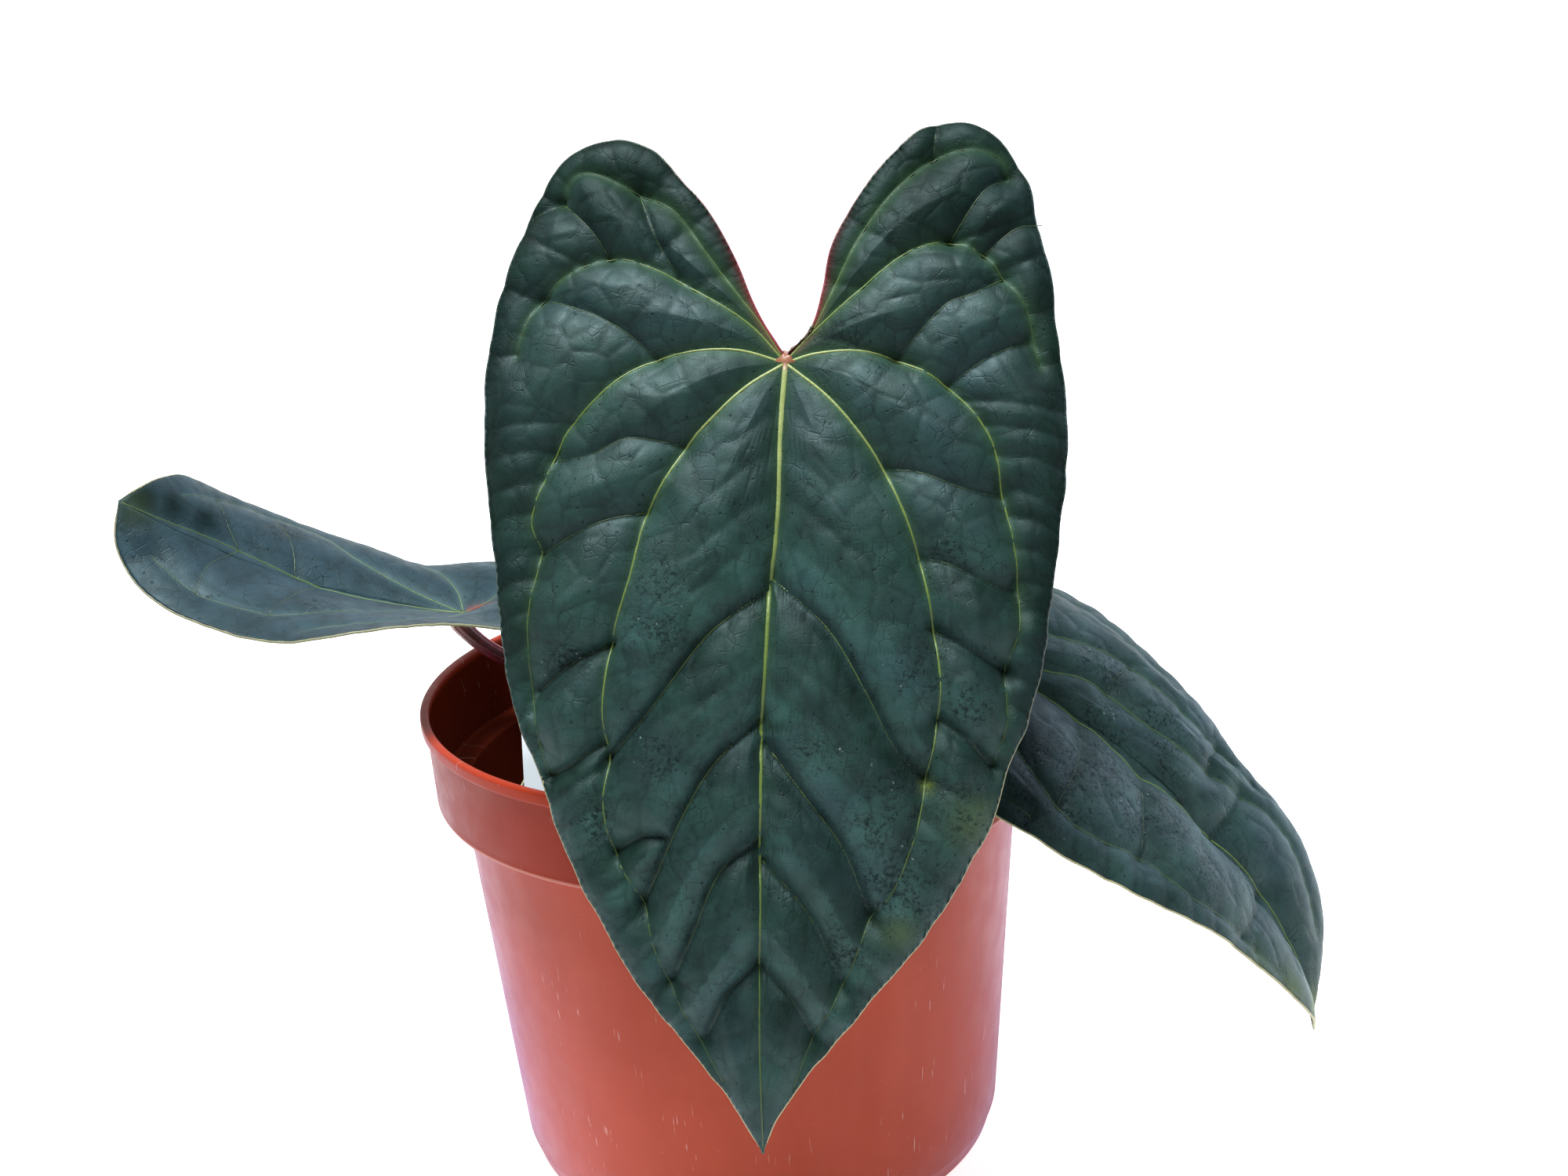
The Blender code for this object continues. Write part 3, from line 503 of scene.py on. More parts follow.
rightLeaf = {
    "length": 113.0, "joint": (39.4, -27.7, 116.1), "tipWay": (0.880, -0.293, -0.373),
    "upperWay": (0.304, -0.255, 0.918), "bend": 0.93, "lobeBend": 0.20, "halfWidth": 41.2,
    "fold": (0.09, 0.59), "curl": (0.69, 1.16), "tipFold": (0.19, 0.05),
    "edges": ([(0, 0), (-3.0, 4.0), (-5.0, 9.5), (-7.5, 16.5), (-12.0, 24.0), (-16.0, 29.0)],
              [(0, 0), (3.0, 4.0), (5.0, 9.5), (7.5, 16.5), (12.0, 24.0), (16.0, 29.0)]),
    "margins": ([(-16.0, 29.0), (-21.0, 31.5), (-27.5, 29.0), (-32.0, 21.0), (-34.5, 8.0), (-35.0, -8.0),
                 (-34.3, -22.0), (-33.5, -36.0), (-31.0, -49.0), (-27.0, -61.0), (-21.0, -74.0),
                 (-15.5, -87.0), (-10.0, -101.0), (-3.5, -109.0), (0, -113.0)],
                [(16.0, 29.0), (21.0, 31.5), (28.0, 29.5), (34.0, 22.0), (38.0, 10.0), (39.5, -6.0),
                 (38.5, -20.0), (35.5, -32.0), (30.5, -43.0), (25.5, -53.0), (22.8, -63.5), (22.5, -74.0),
                 (21.5, -85.0), (15.0, -95.5), (6.5, -103.0), (1.5, -109.0), (0, -113.0)]),
    "main": [
        (0.25, 0.09, 0.85, 0.30, [(0, 0), (0.1, -20), (-1.2, -36), (-2.6, -46), (-1.0, -56), (0.7, -66),
                                 (2.0, -78), (1.9, -90), (1.2, -101), (0, -112.5)]),
        (0.14, 0.07, 0.45, 0.10, [(0, 0), (2.6, -9), (4.6, -20), (8, -27), (8.9, -33), (8.3, -41),
                                  (9.2, -49),
                                (11, -58), (14, -66.5), (16.2, -75), (14.8, -84), (9.5, -97)]),
        (0.14, 0.07, 0.45, 0.10, [(0, 0), (-6, -7), (-12, -14), (-18, -20), (-22.5, -26), (-26.5, -36),
                                (-26, -43), (-22.2, -52), (-21.2, -64), (-17, -74), (-12.5, -90)]),
        (0.12, 0.07, 0.42, 0.10, [(0, 0), (6, -6), (10.5, -14), (14.5, -21), (18, -28), (19.6, -35),
                                 (18.3, -43), (17.6, -51), (19, -58), (19.5, -68)]),
        (0.09, 0.07, 0.35, 0.10, [(0, 0), (7, 4), (16, 6), (25, 2), (30, -8), (31, -20), (28.5, -32),
                                  (24, -45)]),
        (0.09, 0.07, 0.35, 0.10, [(0, 0), (-7, 4), (-15, 6), (-23, 3), (-28, -6), (-30.5, -18),
                                  (-31, -30)]),
        (0.07, 0.06, 0.50, 0.10, [(0, 0), (4.5, 7), (9, 14), (16, 21), (24, 22), (30, 15)]),
        (0.07, 0.06, 0.50, 0.10, [(0, 0), (-4.5, 7), (-9, 14), (-16, 21), (-23, 21), (-28, 13)]),
    ],
    "side": [
        (0.08, 0.06, 0.18, 0.00, [(-2.6, -46), (-13.2, -48.7), (-22, -52)]),
        (0.06, 0.06, 0.12, 0.00, [(2, -81), (-7, -80), (-14.8, -79)]),
        (0.06, 0.06, 0.12, 0.00, [(8.9, -33), (14, -33), (19.6, -35)]),
        (0.06, 0.06, 0.12, 0.00, [(0.7, -66), (7, -66), (14, -66.5)]),
        (0.06, 0.06, 0.12, 0.00, [(11, -58), (15, -57), (19, -58)]),
        (0.06, 0.06, 0.12, 0.00, [(-1, -30), (-12, -33), (-25.5, -33)]),
    ],
    "twigs": [(-12, 7, 5), (-24, 10, 6), (-38, 12, 7), (-55, 12, 7), (-62, 12, 8), (-72, 10, 8),
              (-90, 6, 6), (-99, 4, 4)],
    "ladders": [(4, 1, 6.2, 1.0, 99), (5, -1, 6.2, 1.0, 99), (2, -1, 6.5, 1.0, -34), (3, 1, 6.5, 1.0, -46)],
    "patches": [(-21, -25, 7), (-22, -34, 7), (1, -35, 6), (-14, -46, 8), (-9, -52.5, 7), (-3, -75, 6),
                (-12, -36, 8), (5, -48, 6), (-14, -62, 6), (14, -30, 6), (12, -44, 5), (-29, -30, 6)],
    "yellows": [(-1, -110, 5, 0.9), (-6, -105, 4, 0.6), (-12, -95, 4, 0.3), (-17, -85, 4, 0.2)],
    "cream": (10.0, 1.0),
    "relief": (1.4, 1.0, 0.40, 0.20), "reach": 5.0,
    "cell": 6.5, "seed": 5, "wave": 0.9, "fade": 3.0,
    "lobeAndMarginShade": 0.35, "lobeShadeFrom": 50.0, "chevronShadeAndLight": 0.35, "pleats": 0.5,
    "paintedShadows": [(-18, -20, 6, 0.8), (-25, -30, 5, 0.8), (-8, -50, 4, 0.6), (-3, -92, 4, 0.7),
              (-4, -83, 4, 0.4), (26, -14, 6, 0.7), (24, -32, 4, 0.6), (-22, -62, 4, 0.5)],
}

youngLeaf = {
    "length": 27.0, "joint": (-22.0, -16.0, 90.0), "tipWay": (-0.76, -0.62, 0.18),
    "upperWay": (0.05, -0.20, 0.98), "bend": 0.25, "lobeBend": 0.2, "halfWidth": 10.0,
    "fold": (0.25, 0.25), "curl": (0.4, 0.4), "tipFold": (0.0, 0.0),
    "edges": ([(0, 0), (-1.2, 1.8), (-2.6, 4.0), (-4.0, 5.4)], [(0, 0), (1.2, 1.8), (2.6, 4.0),
                                                                (4.0, 5.4)]),
    "margins": ([(-4.0, 5.4), (-6.5, 5.6), (-9.0, 1.5), (-10.0, -5.0), (-9.0, -13.0), (-5.5, -21.0),
                 (-2.0, -25.5), (0, -27.0)],
                [(4.0, 5.4), (6.5, 5.6), (9.0, 1.5), (10.0, -5.0), (9.0, -13.0), (5.5, -21.0), (2.0, -25.5),
                 (0, -27.0)]),
    "main": [
        (0.19, 0.06, 0.80, 0.10, [(0, 0), (0, -13), (0, -26.5)]),
        (0.07, 0.06, 0.70, 0.10, [(0, 0), (-3.5, -4), (-6.5, -10), (-4.5, -18), (-1.5, -23)]),
        (0.07, 0.06, 0.70, 0.10, [(0, 0), (3.5, -4), (6.5, -10), (4.5, -18), (1.5, -23)]),
        (0.06, 0.06, 0.50, 0.10, [(0, 0), (-4, 1.5), (-7, 0), (-8.3, -5)]),
        (0.06, 0.06, 0.50, 0.10, [(0, 0), (4, 1.5), (7, 0), (8.3, -5)]),
    ],
    "side": [],
    "twigs": [(-6, 3, 3), (-11, 3.5, 3.5), (-16, 2.5, 2.5)],
    "ladders": [],
    "patches": [],
    "yellows": [],
    "cream": (10.0, 0.9),
    "relief": (0.4, 0.2, 0.12, 0.06), "reach": 1.6,
    "cell": 3.5, "seed": 2, "wave": 0.15, "fade": 2.0,
    "lobeAndMarginShade": 0.5, "lobeShadeFrom": 50.0, "chevronShadeAndLight": 0.0, "pleats": 0.0, "paintedShadows": [],
}

bladeBuild = {"thickness": 0.40, "flatFloor": 0.3, "edgeRadius": 0.26, "edgeCalm": 3.0, "sideFade": 2.0}


def leafFrame(leaf):
    along = np.array(leaf["tipWay"], float)
    along /= np.linalg.norm(along)
    upper = np.array(leaf["upperWay"], float)
    upper -= along * upper.dot(along)
    upper /= np.linalg.norm(upper)
    return along, upper, np.cross(upper, along)


def bentBlade(leaf, flat):
    # where points of the flat blade lie on the bent, folded and curled one, in millimetres
    along, upper, across = leafFrame(leaf)
    u, v = flat[:, 0], flat[:, 1]
    bend = np.where(v < 0, leaf["bend"], leaf["lobeBend"]) / leaf["length"]
    way = np.where(v < 0, 1.0, -1.0)
    turn = bend * np.abs(v)
    middle = np.outer(way * np.sin(turn) / bend, along) - np.outer((1 - np.cos(turn)) / bend, upper)
    localUp = np.outer(np.cos(turn), upper) + np.outer(way * np.sin(turn), along)
    curl, fold, tipFold = (np.where(u < 0, *leaf[key]) for key in ("curl", "fold", "tipFold"))
    curl = curl / leaf["halfWidth"]
    fold = fold + tipFold * np.clip(-v / leaf["length"], 0, 1) ** 2
    out = (np.sin(fold) - np.sin(fold - curl * np.abs(u))) / curl
    rise = (np.cos(fold - curl * np.abs(u)) - np.cos(fold)) / curl
    aside = np.outer(np.copysign(out, u), across)
    return np.array(leaf["joint"]) + middle + aside + localUp * rise[:, None]


def bladeNormals(leaf, flat):
    nudge = 0.6
    overU = bentBlade(leaf, flat + (nudge, 0)) - bentBlade(leaf, flat - (nudge, 0))
    overV = bentBlade(leaf, flat + (0, nudge)) - bentBlade(leaf, flat - (0, nudge))
    normals = np.cross(overU, overV)
    return normals / np.linalg.norm(normals, axis=1)[:, None]


def flatBlade(leaf, partRound, partOut):
    # partRound goes from the right notch round the tip to the left notch, partOut from joint to margin
    towardsTip = 2 * np.minimum(partRound, 1 - partRound)
    flat = np.zeros((len(partRound), 2))
    for side, chosen in ((1, partRound < 0.5), (0, partRound >= 0.5)):
        goal = smoothPath(leaf["margins"][side], towardsTip[chosen])
        notch = smoothPath(leaf["edges"][side], partOut[chosen])
        bow = notch - partOut[chosen, None] * np.array(leaf["edges"][side][-1])
        flat[chosen] = partOut[chosen, None] * goal + bow * ((1 - towardsTip[chosen]) ** 3)[:, None]
    return flat


def wavy(leaf, flat, partOut):
    # the margin's small waves, which fade towards the middle of the blade
    waves = np.array([noise.noise((u * 0.17, v * 0.17, leaf["seed"] + 20)) for u, v in flat])
    size = np.hypot(flat[:, 0], flat[:, 1])
    calm = np.clip(size / (0.25 * leaf["length"]), 0, 1) ** 2
    push = 0.011 * leaf["halfWidth"] * waves * partOut ** 8 * calm
    return flat * (1 + push / np.maximum(size, 1))[:, None]


def outline(leaf, side):
    rim = np.vstack([smoothPath(leaf["edges"][side], np.linspace(0, 1, 40))[:-1],
                     smoothPath(leaf["margins"][side], np.linspace(0, 1, 260))])
    return wavy(leaf, rim, 1.0)


def growVeins(leaf):
    # every vein of a leaf, the ladder and twig veins worked out, as (class, widths, pales, points)
    chance = random.Random(leaf["seed"])
    veins = [("main", *vein) for vein in leaf["main"]] + [("side", *vein) for vein in leaf["side"]]
    rims = {-1: outline(leaf, 0), 1: outline(leaf, 1)}
    for index, side, gap, lean, below in leaf["ladders"]:
        route = evenPath(leaf["main"][index][4], gap)
        for u, v in route[2:]:
            rim = rims[side]
            away = np.hypot(rim[:, 0] - u, rim[:, 1] - v)
            near = rim[away.argmin()]
            reach = away.min()
            if v > below or reach < 2.0 or reach > 18.0:
                continue
            slide = lean * (0.16 * reach + chance.uniform(-0.5, 0.5))
            later = rim[np.hypot(rim[:, 0] - near[0], rim[:, 1] - near[1] + slide).argmin()]
            bow = chance.uniform(0.2, 0.6)
            middle = (np.array((u, v)) + later) / 2 + (0, bow * lean)
            veins.append(("fine", 0.11, 0.07, 0.12, 0.0, [(u, v), tuple(middle), tuple(later)]))
    for start, reachLeft, reachRight in leaf["twigs"]:
        for side, reach in ((-1, reachLeft), (1, reachRight)):
            kink = reach * chance.uniform(0.45, 0.6)
            slope = chance.uniform(0.55, 0.8)
            points = [(-0.8, start), (side * kink, start - slope * kink),
                      (side * reach, start - slope * kink - 0.9 * (reach - kink))]
            veins.append(("twig", 0.16, 0.06, 0.35, 0.0, points))
    return veins


def readyLeaf(leaf):
    leaf["veins"] = growVeins(leaf)
    leaf["trees"] = {}
    for kind in ("main", "side", "fine", "twig"):
        routes = [evenPath(vein[5], 0.35) for vein in leaf["veins"] if vein[0] == kind]
        leaf["trees"][kind] = treeOf(np.vstack(routes)) if routes else None
    rim = np.vstack([outline(leaf, 0), outline(leaf, 1)])
    leaf["rimTree"] = treeOf(rim)
    chance = random.Random(leaf["seed"] + 50)
    cell = leaf["cell"]
    seeds = [(u + chance.uniform(-0.42, 0.42) * cell, v + chance.uniform(-0.42, 0.42) * cell)
             for u in np.arange(rim[:, 0].min(), rim[:, 0].max() + cell, cell)
             for v in np.arange(rim[:, 1].min(), rim[:, 1].max() + cell, cell * 0.8)]
    leaf["cells"] = treeOf(seeds)


def swell(distance, height, reach):
    # how far a panel bulges at a distance from a vein that is sunk in a narrow flat floor
    away = np.maximum(distance - bladeBuild["flatFloor"], 0)
    return height * (0.2 * (1 - np.exp(-away / (0.2 * reach))) + 0.8 * (1 - np.exp(-away / reach)))


def panelEdge(leaf, flat):
    found = [leaf["cells"].find_n((u, v, 0), 2) for u, v in flat]
    return np.array([pair[1][2] - pair[0][2] for pair in found])


def fadeIn(distance, width, least):
    return least + (1 - least) * (1 - np.exp(-distance / width))


def reliefOf(leaf, flat):
    heights = leaf["relief"]
    gaps = {kind: distances(tree, flat) if tree else np.full(len(flat), 50.0)
            for kind, tree in leaf["trees"].items()}
    rim = distances(leaf["rimTree"], flat)
    fromJoint = np.hypot(flat[:, 0], flat[:, 1])
    calm = np.clip(fromJoint / 16.0, 0, 1) ** 0.8
    small = calm * fadeIn(rim, bladeBuild["edgeCalm"], 0.6)
    lift = swell(gaps["main"], heights[0], leaf["reach"]) * calm * fadeIn(rim, 4.0, 0.4)
    pleats = 1 + leaf["pleats"] * np.clip((-30 - flat[:, 1]) / 20, 0, 1)
    lift += swell(gaps["side"], heights[1], 0.8 * leaf["reach"]) * small * pleats
    lift += swell(gaps["fine"], heights[2], 2.2) * small
    lift += swell(gaps["twig"], heights[2] * 0.6, 1.6) * small
    edge = panelEdge(leaf, flat)
    lift += heights[3] * (1 - np.exp(-edge / 1.3)) * small
    for u, v, size, height in leaf.get("bumps", ()):
        lift += height * np.exp(-((flat[:, 0] - u) ** 2 + (flat[:, 1] - v) ** 2) / size ** 2)
    sway = np.array([noise.noise((u * 0.055, v * 0.055, leaf["seed"])) for u, v in flat])
    middle = 0.42 * (sum(heights) + heights[1] * (pleats - 1)) * calm
    return lift - middle + leaf["wave"] * sway * calm, gaps, rim, edge


def shadingOf(leaf, flat, rim):
    # where shade is painted on the blade: its lobes and margins, the band below each side vein, and chosen
    # places;
    # and where light is painted on it: above each side vein
    u, v = flat[:, 0], flat[:, 1]
    high = np.clip((v - leaf["lobeShadeFrom"]) / 22.0, 0, 1)
    outer = np.exp(-rim / 7.0) * np.clip((v + 75) / 30.0, 0, 1)
    deepToneAndShade = leaf["lobeAndMarginShade"] * np.maximum(high * 0.75, outer)
    paintedLight = np.zeros(len(flat))
    if leaf["chevronShadeAndLight"] > 0:
        nearest = [leaf["trees"]["side"].find((a, b, 0)) for a, b in flat]
        below = np.array([found[0].y for found in nearest]) - v
        gap = np.array([found[2] for found in nearest])
        low = leaf["chevronShadeAndLight"] * np.clip((-25 - v) / 12, 0, 1)
        deepToneAndShade = np.maximum(deepToneAndShade, low * np.clip(below / 0.8, 0, 1) * np.exp(-gap / 5.0))
        paintedLight = low * (0.32 + 0.68 * np.clip(-below / 1.0, 0, 1) * np.exp(-((gap - 3.0) / 4.5) ** 2))
    for a, b, size, strength in leaf["paintedShadows"]:
        deepToneAndShade = np.maximum(deepToneAndShade, strength * np.exp(-((u - a) ** 2 + (v - b) ** 2) / size ** 2))
    return np.clip(deepToneAndShade, 0, 1), np.clip(paintedLight * (1 - deepToneAndShade), 0, 1)


def addBlade(name, leaf, roundSteps, outSteps, upper, half, replaced):
    # half 0 is the right half of the blade and half 1 the left one; they meet under the midrib
    bm = bmesh.new()
    bmesh.ops.create_grid(bm, x_segments=roundSteps, y_segments=outSteps, size=0.5)
    grid = np.array([vert.co[:2] for vert in bm.verts]) + 0.5
    partRound = np.clip(grid[:, 0], 0, 1) / 2 + half / 2
    if half == 0:
        partRound = np.minimum(partRound, 0.4999999)
    partOut = np.clip(grid[:, 1], 0, 1) ** 0.8
    flat = wavy(leaf, flatBlade(leaf, partRound, partOut), partOut)
    lift, gaps, rim, edge = reliefOf(leaf, flat)
    height = lift + bladeBuild["thickness"] / 2
    places = (bentBlade(leaf, flat) + bladeNormals(leaf, flat) * height[:, None]) * mm
    for vert, place in zip(bm.verts, places):
        vert.co = place
    uvLayer = bm.loops.layers.uv.new("flat")
    for face in bm.faces:
        for loop in face.loops:
            loop[uvLayer].uv = flat[loop.vert.index] / 100
    mesh = meshOf(bm, name)
    fromJoint = np.hypot(flat[:, 0], flat[:, 1])
    glow = np.exp(-np.maximum(gaps["main"] - 0.3, 0) / 0.8) * np.clip(1.05 - fromJoint / 90, 0.12, 1)
    setValues(mesh, "glow", glow * 0.6)
    # darkening at the vein creases and panel edges: partly painted shade, partly the leaf's own darker
    # tissue
    creaseTintAndShade = np.maximum(np.exp(-gaps["side"] / 0.6) * 0.9, np.exp(-gaps["fine"] / 0.5) * 0.9)
    creaseTintAndShade = np.maximum(creaseTintAndShade, np.exp(-gaps["twig"] / 0.45) * 0.6)
    setValues(mesh, "creaseTintAndShade", np.maximum(creaseTintAndShade, np.exp(-edge / 0.35) * 0.8))
    patch = np.zeros(len(flat))
    for u, v, size in leaf["patches"]:
        patch = np.maximum(patch, np.exp(-((flat[:, 0] - u) ** 2 + (flat[:, 1] - v) ** 2) / size ** 2))
    setValues(mesh, "patch", np.clip(patch * 1.5, 0, 1))
    yellow = np.zeros(len(flat))
    for u, v, size, strength in leaf["yellows"]:
        yellow += strength * np.exp(-((flat[:, 0] - u) ** 2 + (flat[:, 1] - v) ** 2) / size ** 2)
    setValues(mesh, "yellow", np.clip(yellow, 0, 1))
    inNotch = (flat[:, 1] > 0.5) & (np.abs(flat[:, 0]) < 0.16 * leaf["length"])
    nearNotch = np.clip(1.1 - fromJoint / (0.2 * leaf["length"]), 0, 1)
    setValues(mesh, "sinus", np.exp(-rim / 0.5) * inNotch * nearNotch)
    # the blade's painted shade and painted light
    deepToneAndShade, paintedLight = shadingOf(leaf, flat, rim)
    setValues(mesh, "deepToneAndShade", deepToneAndShade)
    setValues(mesh, "paintedLight", paintedLight)
    blade = addPiece(name, mesh, [upper, bladeUnder, bladeEdge], replaced)
    wall = blade.modifiers.new("wall", "SOLIDIFY")
    wall.thickness = bladeBuild["thickness"] * mm
    wall.offset = -1.0
    wall.material_offset = 1
    wall.material_offset_rim = 2
    weld = blade.modifiers.new("weld", "WELD")
    weld.merge_threshold = 0.000002
    blade.modifiers.move(1, 0)
    print(name, len(mesh.polygons), "faces")
    return blade


def tubeMesh(name, tubes, sides):
    # round tubes, each (points, radii) in metres, as one mesh that keeps each tube's and point's number
    bm = bmesh.new()
    numbers = bm.verts.layers.float_vector.new("number")
    for tubeIndex, (points, radii) in enumerate(tubes):
        rings = []
        guide = Vector((0.31, 0.77, 0.55))
        for index, (point, radius) in enumerate(zip(points, radii)):
            ahead = Vector(points[min(index + 1, len(points) - 1)]) - Vector(points[max(index - 1, 0)])
            ahead.normalize()
            guide = (guide - ahead * guide.dot(ahead)).normalized()
            turn = Matrix((guide.cross(ahead), guide, ahead)).transposed().to_4x4()
            place = Matrix.Translation(point) @ turn
            isEnd = index in (0, len(points) - 1)
            made = bmesh.ops.create_circle(bm, segments=sides, radius=radius, matrix=place, cap_ends=isEnd)
            for vert in made["verts"]:
                vert[numbers] = (tubeIndex, index, 0)
            rings.append({edge for vert in made["verts"] for edge in vert.link_edges
                          if all(end in made["verts"] for end in edge.verts)})
        for first, second in zip(rings, rings[1:]):
            bmesh.ops.bridge_loops(bm, edges=list(first | second))
    bmesh.ops.recalc_face_normals(bm, faces=bm.faces)
    return meshOf(bm, name)


def numbersOf(mesh):
    values = np.zeros(len(mesh.vertices) * 3, np.float32)
    mesh.attributes["number"].data.foreach_get("vector", values)
    return values.reshape(-1, 3)[:, :2].astype(int)


def addVeins(name, leaf):
    tubes, pales = [], []
    for kind, startWidth, endWidth, startPale, endPale, points in leaf["veins"]:
        if kind in ("fine", "twig"):
            continue
        route = evenPath(points, 1.6)
        lift = reliefOf(leaf, route)[0]
        share = np.linspace(0, 1, len(route))
        width = endWidth + (startWidth - endWidth) * (1 - share) ** 1.5
        radius = 1.35 * width
        sunk = np.sqrt(radius ** 2 - width ** 2) - 0.03
        height = bladeBuild["thickness"] / 2 + lift - sunk
        places = bentBlade(leaf, route) + bladeNormals(leaf, route) * height[:, None]
        tubes.append((places * mm, radius * mm))
        fade = leaf["fade"] if kind == "main" else bladeBuild["sideFade"]
        pales.append(endPale + (startPale - endPale) * (1 - share) ** fade)
    mesh = tubeMesh(name, tubes, 8)
    setValues(mesh, "pale", [pales[tube][point] for tube, point in numbersOf(mesh)])
    return addPiece(name, mesh, [veinSkin])


def addEdge(name, leaf):
    # the thin hard bead round the blade
    tubes, creams, reds = [], [], []
    creamFrom, creamMost = leaf["cream"]
    for side in (0, 1):
        rim = outline(leaf, side)
        lift = reliefOf(leaf, rim)[0]
        places = bentBlade(leaf, rim) + bladeNormals(leaf, rim) * lift[:, None]
        steps = np.arange(len(rim))
        slim = np.clip(np.minimum(steps[::-1], steps * 2 + 1) / 8, 0.2, 1)
        tubes.append((places * mm, bladeBuild["edgeRadius"] * mm * slim))
        low = np.clip((creamFrom - rim[:, 1]) / 25.0 + (0.35 if side else 0.0), 0, 1)
        creams.append(creamMost * low)
        reds.append(np.clip(1.25 - np.arange(len(rim)) / 34.0, 0, 1))
    mesh = tubeMesh(name, tubes, 6)
    numbers = numbersOf(mesh)
    setValues(mesh, "cream", [creams[tube][point] for tube, point in numbers])
    setValues(mesh, "red", [reds[tube][point] for tube, point in numbers])
    return addPiece(name, mesh, [bladeEdge])


def addLeaf(name, leaf, roundSteps, outSteps, upper):
    readyLeaf(leaf)
    addBlade(name + "_half_right", leaf, roundSteps, outSteps, upper, 0, (name,))
    addBlade(name + "_half_left", leaf, roundSteps, outSteps, upper, 1, ())
    addVeins(name + "_veins", leaf)
    addEdge(name + "_edge", leaf)


fine = 1.0
for leafName, leaf, roundSteps, outSteps, upper in (
        ("leaf_main", mainLeaf, 430, 110, bladeMain), ("leaf_left", leftLeaf, 200, 60, bladeLeft),
        ("leaf_right", rightLeaf, 280, 80, bladeRight), ("leaf_young", youngLeaf, 60, 28, bladeMain)):
    addLeaf(leafName, leaf, int(roundSteps * fine), int(outSteps * fine), upper)


# Leaf stalks, crown, sheaths and roots

stalkLook = {"dark": (0.075, 0.003, 0.009), "light": (0.190, 0.009, 0.022), "tan": (0.30, 0.13, 0.07)}


def stalkMaterial():
    look = stalkLook
    material, tree, shader = newMaterial("stalk", Roughness=0.36, Coat_Weight=0.15, Coat_Roughness=0.3)
    place = objectPlace(tree)
    colour = mottle(tree, place, 260.0, look["dark"], look["light"])
    colour = mixed(tree, stepped(tree, noiseOf(tree, place, 1600.0, 2.0), 0.62, 0.70, 0.0, 0.4), colour,
                   (0.32, 0.12, 0.12))
    colour = mixed(tree, attribute(tree, "ridge"), colour, (0.24, 0.030, 0.050))
    colour = mixed(tree, attribute(tree, "tan"), colour, look["tan"])
    tree.links.new(colour, shader.inputs["Base Color"])
    bump(tree, shader, grain(tree, place, 1500.0), 0.00006)
    return material


stalkSkin = stalkMaterial()
stalkBuild = {"ridges": 9, "ridgeHeight": 0.07, "baseRadius": 2.05, "endRadius": 1.5, "circle": 3.6,
              "neck": 3.0, "endDown": 1.6, "rise": 9.0, "step": 1.4}


def addStalk(name, leaf, turn, wayPoints, thick=1.0):
    step = stalkBuild["step"]
    along, upper = leafFrame(leaf)[:2]
    joint = np.array(leaf["joint"])
    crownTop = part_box("crown")[1].z / mm
    circle = stalkBuild["circle"]
    base = np.array((circle * math.cos(turn), circle * math.sin(turn), crownTop - 1.0))
    top = base + (0, 0, stalkBuild["rise"] + 1.6)
    route = [base, (base + top) / 2, top]
    route += [top + (joint - top) * share + np.array(off) for share, off in wayPoints]
    route += [joint - upper * stalkBuild["neck"], joint + along * stalkBuild["endDown"] - upper * 0.1]
    path = evenPath(route, step)
    sides = stalkBuild["ridges"] * 4
    count = len(path)
    share = np.linspace(0, 1, count)
    swelling = 1 + 0.22 * np.exp(-((1 - share) * count * step / 7.0) ** 2)
    first, last = stalkBuild["baseRadius"], stalkBuild["endRadius"]
    radius = (first + (last - first) * share) * swelling * thick
    mesh = tubeMesh(name, [(path * mm, radius * mm)], sides)
    rings = [point for _, point in numbersOf(mesh)]
    ridge = np.zeros(len(mesh.vertices))
    lowest = {}
    for index, point in enumerate(rings):
        lowest.setdefault(point, index)
        around = (index - lowest[point]) / sides
        ridge[index] = math.cos(around * math.tau * stalkBuild["ridges"])
    for vert, crest, point in zip(mesh.vertices, ridge, rings):
        centre = Vector(path[point] * mm)
        vert.co = centre + (vert.co - centre) * (1 + stalkBuild["ridgeHeight"] * crest)
    setValues(mesh, "ridge", np.clip(ridge, 0, 1) * 0.55)
    setValues(mesh, "tan", [np.exp(-(count - 1 - point) * step / 3.2) for point in rings])
    return addPiece(name + "_stalk", mesh, [stalkSkin], (name,))


addStalk("petiole_main", mainLeaf, math.radians(70),
         [(0.30, (0.3, 15.3, 10.3)), (0.55, (1.5, 22.4, 12.5)), (0.80, (2.2, 13.5, 6.7)),
          (0.95, (0.8, 5.4, 0.6))])
addStalk("petiole_left", leftLeaf, math.radians(160),
         [(0.20, (4.3, 1.5, 3.9)), (0.50, (1.9, 1.2, 2.3)), (0.75, (-1.0, 0.7, -1.6)),
          (0.90, (-0.8, 0.6, -3.6))])
addStalk("petiole_right", rightLeaf, math.radians(-20),
         [(0.25, (-4.0, 2.1, 5.5)), (0.60, (-2.6, 0.4, 2.8)), (0.80, (1.2, -0.8, -0.1)),
          (0.90, (0.5, -0.2, -1.7))])
addStalk("petiole_young", youngLeaf, math.radians(250),
         [(0.30, (0.5, 1.2, 1.1)), (0.75, (-4.7, -1.6, -3.5))], 0.66)
print("stalks made")


def crownMaterial():
    material, tree, shader = newMaterial("crown_skin", Roughness=0.7)
    place = objectPlace(tree)
    colour = mottle(tree, place, 320.0, (0.05, 0.045, 0.018), (0.16, 0.13, 0.055))
    ring = noiseOf(tree, scaled(tree, place, (20, 20, 900)), 1.0, 3.0)
    colour = mixed(tree, stepped(tree, ring, 0.5, 0.62, 0.0, 0.6), colour, (0.06, 0.035, 0.02))
    tree.links.new(colour, shader.inputs["Base Color"])
    bump(tree, shader, maths(tree, "ADD", ring, grain(tree, place, 900.0)), 0.0003)
    return material


